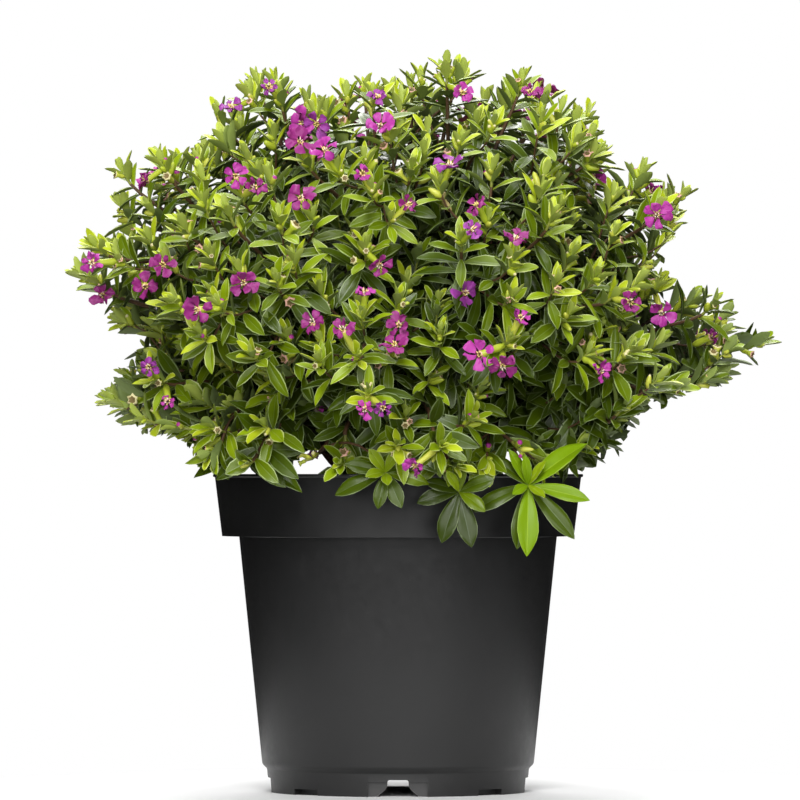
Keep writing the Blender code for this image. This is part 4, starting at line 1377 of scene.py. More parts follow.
# Each row of leaf pairs from a shoot's end back: distance, length, lean from the shoot, age
LEAF_RANKS = (
    (0.0000, 0.0070, 9.0, 0.0), (0.0010, 0.0092, 20.0, 0.4), (0.0026, 0.0112, 31.0, 0.9),
    (0.0048, 0.0130, 41.0, 1.6), (0.0078, 0.0146, 50.0, 2.5), (0.0116, 0.0158, 58.0, 3.4),
    (0.0160, 0.0166, 65.0, 4.3), (0.0208, 0.0172, 71.0, 5.2), (0.0258, 0.0174, 76.0, 6.0),
    (0.0312, 0.0172, 81.0, 7.0), (0.0368, 0.0168, 85.0, 8.0), (0.0428, 0.0160, 88.0, 9.0),
)
AGE_LIMITS = ((1.4, LIME), (2.8, FRESH), (4.5, GREEN), (7.3, DARK))
AGE_STRAY = 0.55
YOUNG_RANKS = 3
YOUNG_BREADTH = 1.12
LEAF_SLENDERNESS = (0.26, 0.35)
LEAF_LENGTHS = (0.86, 1.12)
SHORTENED = (1.0, 0.84, 0.70)
LEAF_TURN_STRAY = 0.12
LEAF_LEAN_STRAY = 5.0
LEAF_CURLS = (-0.25, 0.25)
LEAF_FOLDS = (0.18, 0.50)
LEAF_TWIST = 0.22
LEAF_OVERHANG = 0.006
OLD_HANG = 0.30
HANG_STRAY = 0.05
OLD_CURL = 0.75

# The shoots over the rim and their long leaves
RIM_SHOOT_LENGTH = 0.034
RIM_FACE_UP = Vector((0.0, -1.0, 0.45))
RIM_CURLS = (0.3, 0.8)
RIM_FOLDS = (0.05, 0.30)
RIM_TWIST = 0.28
RIM_PULL = 0.3

# Where a flower can grow from a shoot, and how far a seen flower's foot may show from its place
SEEN_NODES = (0.0020, 0.0064, 0.0118, 0.0182)
OTHER_NODES = (0.0038, 0.0075, 0.0120)
FRONT_NODE = 0.012
FARTHEST_NODE = 0.013
MISS_WEIGHT = 1.4
SEEN_TUBE = 0.0110
LEAST_DEPTH = 0.0045
HIGH_LOOK_UP = 1.6
FLOWER_STRAY = 0.30
FLOWER_RADII = (0.0036, 0.0064)
FLOWER_TUBE_RADII = (0.0011, 0.0014)
OPEN_MOUTH = 0.95

# The other flowers: how far forward they grow, how often, how long and how far from each other
OTHER_FRONT = -0.010
OTHER_CHANCE = 0.42
OTHER_TUBES = (0.0085, 0.0110)
FLOWER_GAP = 0.010
FLOWER_INSET = 0.007

# How far every other corner of a tube's mouth stands out and in, as its six teeth
TOOTH = (1.22, 0.88)

# Each row of flower tubes from a shoot's end back: distance, how often there is one, length
TUBE_RANKS = (
    (0.0010, 0.85, 0.0034), (0.0022, 0.80, 0.0044), (0.0038, 0.65, 0.0054),
    (0.0060, 0.42, 0.0068), (0.0092, 0.28, 0.0080), (0.0135, 0.16, 0.0084),
)
TUBE_SWELL = 0.085
TUBE_FOOT = 0.00040
LONGEST_BUD = 0.0070
SHORTEST_SPENT = 0.0080
BUD_CHANCE = 0.7
SPENT_CHANCE = 0.12
CREAM_CHANCE = 0.55
COLOURED_CHANCE = 0.20
TUBE_LENGTHS = (0.85, 1.12)
BUD_MOUTHS = (0.45, 0.62)
TUBE_MOUTHS = (1.15, 1.75)
BUD_SWELLS = (1.15, 1.60)
COLOURED_MOUTH = 0.84


class TubeSlot(IntEnum):
    """The slots of the flower tubes, in the order of their finishes."""

    LIME = 0
    YELLOW = 1
    CREAM = 2
    PINK = 3
    THROAT = 4
    SPENT = 5
    MAGENTA = 6


TUBE_SIDES = (TubeSlot.LIME, TubeSlot.LIME, TubeSlot.YELLOW)
BUD_ENDS = (TubeSlot.LIME, TubeSlot.YELLOW, TubeSlot.CREAM)


def tint_of(age: float) -> Tint:
    """Returns the tint that a leaf of this age has."""
    return next((tint for limit, tint in AGE_LIMITS if age < limit), DEEP)


@dataclass
class Crown:
    """The grown crown: its limbs, leaves, flower tubes and open flowers."""

    shoots: list[Shoot] = field(default_factory=list)
    leaves: list[Leaf] = field(default_factory=list)
    tubes: list[FlowerTube] = field(default_factory=list)
    flowers: list[Flower] = field(default_factory=list)
    rng: Random = field(default_factory=lambda: Random(f"{SEED} flowers"))

    def grow_shoots(self) -> None:
        """Lays every spray's limbs, first the source's own and then the finer ones."""
        sprays = [SprayLimbs(spray) for spray in SPRAYS]
        for limbs in sprays:
            limbs.lay_leaders()
        outer_tips = [shoot.course[-1] for limbs in sprays for shoot in limbs.shoots]
        layers = ((FINE_REACHES, TIP_GAP, outer_tips, 0.0), (INNER_REACHES, INNER_TIP_GAP, [], INNER_SHADE))
        for reaches, gap, taken, shade in layers:
            for limbs in sprays:
                limbs.rng = Random(f"{SEED} {limbs.spray.name} {reaches}")
                for tip in limbs.fine_tips(reaches, gap, taken):
                    limbs.lay_fine(tip, shade)
        self.shoots = [shoot for limbs in sprays for shoot in limbs.shoots]

    def hides_flower(self, leaf: Leaf) -> bool:
        """Tells whether a leaf stands in an open flower or close before it."""
        places = [leaf.at(share) for share in FLOWER_PLACES]
        return any(flower.is_hidden_by(place) for place in places for flower in self.flowers)

    def outer_shoots(self) -> list[Shoot]:
        """Returns the shoots that reach the crown's surface."""
        return [shoot for shoot in self.shoots if shoot.shade < 1.0]

    def leaf_pair(self, shoot: Shoot, rank: int, turn: float, rng: Random) -> None:
        """Sets two opposite leaves on a shoot, lower and flatter the older they are.

        Args:
            shoot: The shoot.
            rank: Which pair it is, counted from the shoot's end.
            turn: How far the pair is turned about the shoot.
            rng: The leaves' random order.
        """
        back, length, lean_degrees, age = LEAF_RANKS[rank]
        spray = shoot.spray
        place, way = point_back(shoot.course, back * (0.6 + 0.4 * spray.size))
        side = way.orthogonal().normalized()
        over = way.cross(side)
        maturity = rank / len(LEAF_RANKS)
        outer_blade, broad = (YOUNG_BLADE, YOUNG_BREADTH) if rank < YOUNG_RANKS else (GROWN_BLADE, 1.0)
        for half in (0.0, math.pi):
            angle = turn + half + rng.gauss(0.0, LEAF_TURN_STRAY)
            lean = math.radians(lean_degrees + rng.gauss(0.0, LEAF_LEAN_STRAY))
            out = side * math.cos(angle) + over * math.sin(angle)
            hang = spray.hang + OLD_HANG * maturity + rng.gauss(0.0, HANG_STRAY)
            leaf_way = way * math.cos(lean) + out * math.sin(lean) - UP * hang * math.sin(lean)
            long = length * spray.size * shoot.vigour * rng.uniform(*LEAF_LENGTHS)
            leaf = Leaf(
                spray, place, leaf_way.normalized(),
                way * (1.1 - 0.5 * maturity) + UP * (0.25 + 0.7 * maturity),
                long, long * broad * rng.uniform(*LEAF_SLENDERNESS),
                curl=rng.uniform(*LEAF_CURLS) + OLD_CURL * maturity,
                fold=rng.uniform(*LEAF_FOLDS) * (1.25 - 0.6 * maturity),
                twist=rng.gauss(0.0, LEAF_TWIST),
                # The shoot's and the spray's shade shift the tint: partly age, partly painted shade and
                # light
                tint=tint_of(age + shoot.shade + spray.shade + rng.gauss(0.0, AGE_STRAY)),
                blade=INNER_BLADE if shoot.shade > 1.0 else outer_blade,
            )
            for share in SHORTENED:
                leaf.length = long * share
                if leaf.is_free() and not self.hides_flower(leaf):
                    self.leaves.append(leaf)
                    break

    def grow_leaves(self) -> None:
        """Sets crossed pairs of leaves back from every shoot's end."""
        for index, shoot in enumerate(self.shoots):
            rng = Random(f"{SEED} leaves {index}")
            first = rng.uniform(0.0, math.pi)
            room = shoot.length - 3 * MM
            for rank, (back, *_) in enumerate(LEAF_RANKS):
                if back < room:
                    self.leaf_pair(shoot, rank, first + rank * math.pi / 2, rng)

    def grow_rim_shoots(self) -> None:
        """Grows the shoots over the rim, each from its spray's nearest limb, with its own leaves."""
        rng = Random(f"{SEED} rim")
        grown = []
        for placed in RIM_SHOOTS:
            centre = Vector(placed.centre) * MM
            limbs = [shoot for shoot in self.shoots if shoot.spray.name == placed.spray]
            spray = limbs[0].spray
            starts = [place for limb in limbs for place in limb.course]
            start = min(starts, key=lambda place: abs((centre - place).length - RIM_SHOOT_LENGTH))
            pull = UP * (RIM_PULL * (centre - start).length)
            course = bezier(start, start.lerp(centre, 0.3) + pull, start.lerp(centre, 0.8) + pull,
                            centre, FINE_KNOTS)
            grown.append(Shoot(spray, course, FINE_RADII))
            for right, up, before, width, tint in placed.leaves:
                tip = Vector((right, 0.0, up)) * MM + Vector((0.0, centre.y - before * MM, 0.0))
                way = (tip - centre).normalized()
                normal = (RIM_FACE_UP - way * RIM_FACE_UP.dot(way)).normalized()
                curl = rng.uniform(*RIM_CURLS)
                self.leaves.append(Leaf(
                    spray, centre, (way + normal * curl / 2).normalized(), RIM_FACE_UP,
                    (tip - centre).length, width * MM, curl, rng.uniform(*RIM_FOLDS),
                    rng.gauss(0.0, RIM_TWIST), tint, RIM_BLADE))
        self.shoots += grown

    def set_flower(self, root: Vector, centre: Vector, towards: Vector, size: float = 1.0) -> None:
        """Sets an open flower on its tube.

        Args:
            root: Where the tube grows from.
            centre: The flower's middle.
            towards: Where the flower leans to.
            size: How large it is beside an upper flower.
        """
        rng = self.rng
        way = (centre - root).normalized()
        stray = Vector([rng.gauss(0.0, FLOWER_STRAY) for _ in range(3)])
        facing = (way * 0.5 + towards * 0.75 + stray + UP * 0.15).normalized()
        radius = size * rng.uniform(*FLOWER_RADII)
        self.flowers.append(Flower(centre, facing, radius, rng.uniform(0.0, math.tau)))
        self.tubes.append(FlowerTube(root, way, (centre - root).length, rng.uniform(*FLOWER_TUBE_RADII),
                                     OPEN_MOUTH, rng.choice(TUBE_SIDES), TubeSlot.PINK))

    def grow_seen_flowers(self) -> None:
        """Grows a flower near each place where the photograph shows one, from the nearest front node."""
        nodes = [point_back(shoot.course, back)[0] for shoot in self.outer_shoots()
                 for back in SEEN_NODES if back < shoot.length]
        look_up = (TOWARDS_VIEWER + UP * HIGH_LOOK_UP).normalized()
        for right, up in SEEN_FLOWERS:
            scored = []
            for place in nodes:
                seen = on_photo(place)
                miss = math.hypot(seen[0] - right * MM, seen[1] - up * MM)
                if place.y < FRONT_NODE and miss < FARTHEST_NODE:
                    scored.append((place.y + MISS_WEIGHT * miss, place, miss))
            if not scored:
                continue
            _, root, miss = min(scored, key=lambda row: row[0])
            deep = math.sqrt(max(SEEN_TUBE**2 - miss * miss, LEAST_DEPTH**2))
            away = (CAMERA_DISTANCE + root.y - deep) / CAMERA_DISTANCE
            high = CAMERA_HEIGHT + (up * MM - CAMERA_HEIGHT) * away
            centre = Vector((right * MM * away, root.y - deep, high))
            if clears_pot(centre):
                size = 1.0 if LOW_FLOWERS < up < HIGH_FLOWERS else SMALL_FLOWER
                self.set_flower(root, centre, look_up if up > HIGH_FLOWERS else TOWARDS_VIEWER, size)

    def grow_other_flowers(self) -> None:
        """Scatters flowers over the sides, the top and the back."""
        rng = self.rng
        for shoot in self.outer_shoots():
            if shoot.course[-1].y < OTHER_FRONT or rng.random() > OTHER_CHANCE:
                continue
            root, way = point_back(shoot.course, rng.choice(OTHER_NODES))
            outwards = (root - HEART).normalized()
            out = turned_out(way, rng.uniform(0.0, math.tau))
            tube_way = (outwards + out * 0.8 + way * 0.3).normalized()
            centre = root + tube_way * rng.uniform(*OTHER_TUBES)
            near = any((centre - flower.centre).length < FLOWER_GAP for flower in self.flowers)
            if not near and is_free(centre, -FLOWER_INSET, 0.0):
                self.set_flower(root, centre, outwards)

    def grow_tubes(self) -> None:
        """Sets buds, open tubes and spent ones among the young leaves."""
        rng = self.rng
        ranked = [(shoot.course, rank) for shoot in self.outer_shoots() for rank in TUBE_RANKS]
        for course, (back, chance, longest) in ranked:
            if rng.random() > chance:
                continue
            root, way = point_back(course, back)
            out = turned_out(way, rng.uniform(0.0, math.tau))
            tube_way = (way * 0.5 + out + (root - HEART).normalized() * 0.5).normalized()
            bud = longest < LONGEST_BUD and rng.random() < BUD_CHANCE
            spent = longest > SHORTEST_SPENT and rng.random() < SPENT_CHANCE
            length = longest * rng.uniform(*TUBE_LENGTHS)
            end = root + tube_way * length
            if not clears_pot(end) or not in_outline(end, 0.0) or over_rim(end, LEAF_FLOOR):
                continue
            mouth = rng.uniform(*(BUD_MOUTHS if bud else TUBE_MOUTHS))
            side_slot = TubeSlot.SPENT if spent else rng.choice(TUBE_SIDES)
            mouth_slot = TubeSlot.CREAM if bud or rng.random() < CREAM_CHANCE else TubeSlot.PINK
            radius = length * TUBE_SWELL + TUBE_FOOT
            if bud:
                radius *= rng.uniform(*BUD_SWELLS)
                mouth_slot = rng.choice(BUD_ENDS)
            if bud and rng.random() < COLOURED_CHANCE:
                mouth, mouth_slot = COLOURED_MOUTH, TubeSlot.MAGENTA
            self.tubes.append(FlowerTube(root, tube_way, length, radius, mouth, side_slot, mouth_slot))

    def grow(self) -> None:
        """Grows the whole crown."""
        self.grow_shoots()
        self.grow_seen_flowers()
        self.grow_other_flowers()
        self.grow_tubes()
        self.grow_leaves()
        self.grow_rim_shoots()


# Where a twig's old wood ends and where its red wood ends, by the length that is left to its tip; the old
# wood's dark colour is partly painted shade inside the crown
OLD_WOOD = 0.034
RED_WOOD = 0.009

# A flower tube's rings: place, radius and whether the mouth's width applies
TUBE_RINGS = ((0.10, 0.70, 0), (0.34, 1.15, 0), (0.68, 0.95, 0), (0.93, 1.15, 1), (0.98, 0.72, 1))
CLOSED_MOUTH = 0.9
PETALS = 6
PETAL_TINTS = (0.50, 0.32, 0.18)
PETAL_ROOT = 0.0007
PETAL_STRAY = 0.10
PETAL_LEANS = (-0.10, 1.00)
PETAL_LENGTHS = (0.76, 1.10)
PETAL_BREADTHS = (0.66, 0.92)
PETAL_CURLS = (-0.7, 0.9)
PETAL_FOLDS = (-0.35, 0.35)
PETAL_TWIST = 0.40
PETAL_CRINKLE = 0.00055
PETAL_RUMPLE = 0.00016
CLAW_REACH = 0.30
STAMEN_WIDTH = 0.0005
STAMEN_HEIGHTS = (0.0012, 0.0026)
STAMEN_LEANS = (0.0, 0.0012)
ANTHER_CHANCE = 0.6
CLAW_SLOT = 3
ANTHER_SLOT = 4
FILAMENT_SLOT = 5


def ring_of(sides: int) -> list[Vector]:
    """Returns the corners of a level ring with a radius of 1."""
    turns = [math.tau * corner / sides for corner in range(sides)]
    return [Vector((math.cos(turn), math.sin(turn), 0.0)) for turn in turns]


def stack_faces(sides: int, slots: Sequence[int]) -> Faces:
    """Lists the faces of a stack of rings that ends in a point below and above.

    Args:
        sides: How many corners a ring has.
        slots: The slot below the first ring, between each two rings and above the last.

    Returns:
        The faces.
    """
    rows = []
    rings = len(slots) - 1
    for corner in range(sides):
        low, follow = 1 + corner, 1 + (corner + 1) % sides
        rows.append(((0, follow, low), slots[0]))
        for slot in slots[1:-1]:
            rows.append(((low, follow, follow + sides, low + sides), slot))
            low, follow = low + sides, follow + sides
        rows.append(((low, follow, 1 + rings * sides), slots[-1]))
    return Faces.listed(rows)


@dataclass
class Foliage:
    """Meshes the grown crown as joined pieces, each kind apart."""

    crown: Crown
    twig_sides: int = 5
    bud_sides: int = 6
    mouth_sides: int = 12

    def leaf_pieces(self) -> list[Object]:
        """Meshes the leaves, zone by zone.

        Returns:
            The pieces, each standing for its zone's foliage masses.
        """
        pieces = []
        for zone in Zone:
            joined = JoinedMesh(zone.value)
            for blade in (YOUNG_BLADE, INNER_BLADE, GROWN_BLADE, RIM_BLADE):
                chosen = [leaf for leaf in self.crown.leaves
                          if leaf.spray.zone is zone and leaf.blade is blade]
                if chosen:
                    self.add_leaves(joined, blade, chosen)
            piece = joined.build(LEAF_FINISHES)
            masses = [f"foliage_{spray.name}" for spray in SPRAYS if spray.zone is zone]
            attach(piece, BODY)
            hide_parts(*masses)
            pieces.append(piece)
        return pieces

    def add_leaves(self, joined: JoinedMesh, blade: Blade, leaves: list[Leaf]) -> None:
        """Adds leaves of one shape to a piece.

        Args:
            joined: The piece.
            blade: The leaves' shape.
            leaves: The leaves.
        """
        columns = [np.array([getattr(leaf, measure.name) for leaf in leaves], float)
                   for measure in fields(BladeCopies)]
        rims = blade.layout()[4]
        crinkle = np.random.default_rng(SEED).normal(0.0, LEAF_CRINKLE, (len(leaves), len(rims)))
        faces = blade.faces()
        tints = np.array([leaf.tint.value for leaf in leaves])
        slots = tints[:, None] * len(Role) + faces.parts[None, :]
        joined.add(blade.placed(BladeCopies(*columns), LEAF_THICKNESS, crinkle), faces, slots, rims)

    def twig_piece(self) -> Object:
        """Meshes every stem, twig and finer shoot.

        Returns:
            The piece.
        """
        joined = JoinedMesh("twigs")
        for shoot in self.crown.shoots:
            self.add_limb(joined, shoot)
        piece = joined.build(TWIG_FINISHES)
        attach(piece, BODY)
        return piece

    def add_limb(self, joined: JoinedMesh, shoot: Shoot) -> None:
        """Adds one tapering limb, closed by a point at each end.

        Args:
            joined: The piece.
            shoot: The limb.
        """
        points = shoot.course
        radii = tapered(*shoot.radii, len(points))
        turns = turns_along(points)
        rows = [points[0] - (turns[0] @ UP) * radii[0]]
        for point, radius, turn in zip(points, radii, turns):
            rows += [point + turn @ place * radius for place in ring_of(self.twig_sides)]
        rows.append(points[-1] + (turns[-1] @ UP) * radii[-1])
        runs = [-(high - low).length for low, high in zip(points, points[1:])]
        left = list(accumulate([shoot.length] + runs))
        slots = [int(rest <= OLD_WOOD) + int(rest <= RED_WOOD) for rest in [left[0]] + left]
        faces = stack_faces(self.twig_sides, slots)
        joined.add(np.array(rows, float)[None], faces, faces.parts)

    def tube_points(self, tube: FlowerTube, sides: int, closed: bool) -> np.ndarray:
        """Lists the points of one flower tube: a swollen base, a waist, a flared mouth and a throat.

        Args:
            tube: The tube.
            sides: How many corners its rings have.
            closed: Whether it is a bud.

        Returns:
            The points, as one copy by points by 3.
        """
        rows = [Vector((0.0, 0.0, 0.0))]
        for along, radius, is_mouth in TUBE_RINGS:
            for corner in range(sides):
                place = math.tau * corner / sides
                wide = tube.radius * radius * (tube.mouth if is_mouth else 1.0)
                is_tooth = is_mouth and not closed
                wide *= TOOTH[corner % 2] if is_tooth else 1.0
                high = along + 0.05 * (is_tooth and corner % 2 == 0)
                rows.append(Vector((math.cos(place) * wide, math.sin(place) * wide, high * tube.length)))
        rows.append(Vector((0.0, 0.0, tube.length * (1.06 if closed else 0.80))))
        turn = UP.rotation_difference(tube.way)
        return np.array([tube.root + turn @ row for row in rows], float)[None]

    def tube_piece(self) -> Object:
        """Meshes the flower tubes and buds.

        Returns:
            The piece.
        """
        joined = JoinedMesh("flower_tubes")
        for tube in self.crown.tubes:
            closed = tube.mouth < CLOSED_MOUTH
            sides = self.bud_sides if closed else self.mouth_sides
            throat = tube.mouth_slot if closed else TubeSlot.THROAT
            slots = (tube.side_slot,) * 4 + (tube.mouth_slot, throat)
            faces = stack_faces(sides, slots)
            joined.add(self.tube_points(tube, sides, closed), faces, faces.parts)
        piece = joined.build(TUBE_FINISHES)
        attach(piece, BODY)
        return piece

    def blossom_piece(self) -> Object:
        """Meshes the open flowers: six crinkled petals and a tuft of stamens each.

        Returns:
            The piece.
        """
        rng = np.random.default_rng(SEED)
        joined = JoinedMesh("blossom")
        rows = []
        for flower in self.crown.flowers:
            tint = int(rng.choice(3, p=PETAL_TINTS))
            for petal in range(PETALS):
                turn = flower.turn + petal * math.tau / PETALS + rng.normal(0.0, PETAL_STRAY)
                out = turned_out(flower.way, turn)
                way = out + flower.way * rng.uniform(*PETAL_LEANS)
                length = flower.radius * rng.uniform(*PETAL_LENGTHS)
                rows.append((flower.centre + out * PETAL_ROOT, way, flower.way, length, tint))
        count = len(rows)
        root, way, face_up, length, tints = (np.array(column) for column in zip(*rows))
        faces = PETAL_BLADE.faces()
        along, *_, rims = PETAL_BLADE.layout()
        crinkle = rng.normal(0.0, PETAL_CRINKLE, (count, len(along)))
        copies = BladeCopies(
            root, way, face_up, length, width=length * rng.uniform(*PETAL_BREADTHS, count),
            curl=rng.uniform(*PETAL_CURLS, count), fold=rng.uniform(*PETAL_FOLDS, count),
            twist=rng.normal(0.0, PETAL_TWIST, count))
        points = PETAL_BLADE.placed(copies, PETAL_THICKNESS, crinkle)
        points += rng.normal(0.0, PETAL_RUMPLE, points.shape) * (along > 0.0)[None, :, None]
        ends = np.cumsum(faces.totals)
        in_claw = np.array([along[faces.corners[end - total:end]].mean() < CLAW_REACH
                            for end, total in zip(ends, faces.totals)])
        joined.add(points, faces, np.where(in_claw[None, :], CLAW_SLOT, tints[:, None]), rims)
        self.add_stamens(joined, rng)
        piece = joined.build(PETAL_FINISHES)
        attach(piece, BODY)
        return piece

    def add_stamens(self, joined: JoinedMesh, rng: np.random.Generator) -> None:
        """Adds a tuft of short stamens to the middle of every flower.

        Args:
            joined: The piece.
            rng: The blossom's random order.
        """
        faces = Faces.listed([(corners, 0) for corners in ((0, 2, 1), (0, 1, 3), (0, 3, 2), (1, 2, 3))])
        wide = STAMEN_WIDTH
        for flower in self.crown.flowers:
            for stamen in range(PETALS):
                out = turned_out(flower.way, stamen * math.tau / PETALS + flower.turn)
                across = flower.way.cross(out)
                foot = flower.centre + out * wide
                top = foot + flower.way * rng.uniform(*STAMEN_HEIGHTS) + out * rng.uniform(*STAMEN_LEANS)
                rows = (foot - out * wide, top, foot + (out + across) * wide, foot + (out - across) * wide)
                slot = ANTHER_SLOT if rng.random() < ANTHER_CHANCE else FILAMENT_SLOT
                joined.add(np.array(rows, float)[None], faces, np.full(4, slot))

    def build(self) -> list[Object]:
        """Returns all the foliage pieces."""
        return self.leaf_pieces() + [self.twig_piece(), self.tube_piece(), self.blossom_piece()]


@dataclass(frozen=True)
class Relief:
    """The relief of a cloud pattern: its grain, its finer layers, the value that stays level, its depth."""

    label: str
    grain: float
    layers: int
    level: float
    depth: float

    def add_to(self, obj: Object) -> Modifier:
        """Adds the relief to an object.

        Args:
            obj: The object.

        Returns:
            The modifier that gives it.
        """
        pattern = bpy.data.textures.get(self.label) or bpy.data.textures.new(self.label, "CLOUDS")
        pattern.noise_scale = self.grain
        pattern.noise_depth = self.layers
        relief = obj.modifiers.new(self.label, "DISPLACE")
        relief.texture = pattern
        relief.texture_coords = "LOCAL"
        relief.mid_level = self.level
        relief.strength = self.depth
        return relief


def deselect_all() -> None:
    """Leaves edit mode and deselects every object."""
    if bpy.context.object and bpy.context.object.mode != "OBJECT":
        bpy.ops.object.mode_set(mode="OBJECT")
    bpy.ops.object.select_all(action="DESELECT")


def make_active(obj: Object) -> None:
    """Makes this the active object, and the only one selected.

    Args:
        obj: The object.
    """
    deselect_all()
    obj.select_set(True)
    bpy.context.view_layer.objects.active = obj


def named(name: str) -> Object:
    """Gives the object in hand and its mesh this name, and returns it."""
    bpy.context.object.name = bpy.context.object.data.name = name
    return bpy.context.object


def apply_placing() -> None:
    """Applies the place, turn and scale of the object in hand."""
    bpy.ops.object.transform_apply(location=True, rotation=True, scale=True)


def close_up() -> None:
    """Turns every face of the mesh in edit mode outwards, and leaves edit mode."""
    bpy.ops.mesh.select_all(action="SELECT")
    bpy.ops.mesh.normals_make_consistent(inside=False)
    bpy.ops.object.mode_set(mode="OBJECT")


def apply_modifiers(obj: Object) -> None:
    """Applies an object's modifiers in order.

    Args:
        obj: The object.
    """
    make_active(obj)
    for modifier in list(obj.modifiers):
        bpy.ops.object.modifier_apply(modifier=modifier.name)


def subdivide(obj: Object, levels: int, kind: str) -> None:
    """Adds a modifier that divides an object's faces.

    Args:
        obj: The object.
        levels: How often its faces are divided.
        kind: Whether it rounds them too.
    """
    smooth = obj.modifiers.new("smooth", "SUBSURF")
    smooth.levels = smooth.render_levels = levels
    smooth.subdivision_type = kind


def finish_surface(obj: Object, sharpest: float, material: Material) -> None:
    """Smooths an object's surface and gives it its one material.

    Args:
        obj: The object.
        sharpest: The angle in degrees above which an edge stays sharp.
        material: The material.
    """
    make_active(obj)
    bpy.ops.object.shade_smooth_by_angle(angle=math.radians(sharpest))
    obj.data.materials.clear()
    obj.data.materials.append(material)


def cut_from(obj: Object, cutter: Object) -> None:
    """Takes a cutter's shape out of an object and removes the cutter.

    Args:
        obj: The object.
        cutter: The cutter.
    """
    boolean = obj.modifiers.new("cut", "BOOLEAN")
    boolean.operation = "DIFFERENCE"
    boolean.solver = "EXACT"
    boolean.object = cutter
    apply_modifiers(obj)
    bpy.data.objects.remove(cutter, do_unlink=True)


def select_points(obj: Object, chosen: Iterable[int]) -> None:
    """Selects these points of the mesh in edit mode, and nothing else.

    Args:
        obj: The object in edit mode.
        chosen: The points' indices.
    """
    bm = bmesh.from_edit_mesh(obj.data)
    for part in (bm.verts, bm.edges, bm.faces):
        for item in part:
            item.select = False
    bm.verts.ensure_lookup_table()
    for index in chosen:
        bm.verts[index].select = True
    bm.select_flush(True)
    bmesh.update_edit_mesh(obj.data)


def points_at(obj: Object, height: float) -> list[int]:
    """Returns the points of the mesh in edit mode that lie at this height."""
    bm = bmesh.from_edit_mesh(obj.data)
    return [index for index, point in enumerate(bm.verts) if abs(point.co.z - height) < 0.1 * MM]


@dataclass
class TurnedShape:
    """A round solid made from a disc that is extruded and resized, ring by ring."""

    name: str
    sides: int
    profile: tuple[tuple[float, float], ...]

    def build(self) -> Object:
        """Models the solid round the pot's axis.

        Returns:
            The object, closed by its first and its last disc.
        """
        deselect_all()
        radius, height = self.profile[0]
        bpy.ops.mesh.primitive_circle_add(vertices=self.sides, radius=radius, fill_type="NGON",
                                          location=(POT_AXIS.x, POT_AXIS.y, height))
        obj = named(self.name)
        apply_placing()
        bpy.ops.object.mode_set(mode="EDIT")
        bpy.ops.mesh.select_all(action="SELECT")
        for next_radius, next_height in self.profile[1:]:
            bpy.ops.mesh.extrude_region_move(
                TRANSFORM_OT_translate={"value": (0.0, 0.0, next_height - height)})
            share = next_radius / radius
            bpy.ops.transform.resize(value=(share, share, 1.0),
                                     center_override=(POT_AXIS.x, POT_AXIS.y, next_height))
            radius, height = next_radius, next_height
        close_up()
        return obj


def eased(corners: Sequence[tuple[float, float, float]], steps: int = 3) -> tuple[tuple[float, float], ...]:
    """Rounds the corners of a profile.

    Args:
        corners: Each a radius, a height and how far the corner's rounding reaches.
        steps: How many points a rounded corner has between its ends.

    Returns:
        The profile's points.
    """
    points: list[tuple[float, float]] = []
    for index, (radius, height, ease) in enumerate(corners):
        if ease == 0.0:
            points.append((radius, height))
            continue
        corner = Vector((radius, height))
        runs = [Vector(corners[index + step][:2]) - corner for step in (-1, 1)]
        start, end = (corner + run.normalized() * min(ease, 0.45 * run.length) for run in runs)
        for share in (step / steps for step in range(steps + 1)):
            point = start * (1 - share) ** 2 + corner * (2 * share * (1 - share)) + end * share**2
            points.append((point.x, point.y))
    return tuple(points)


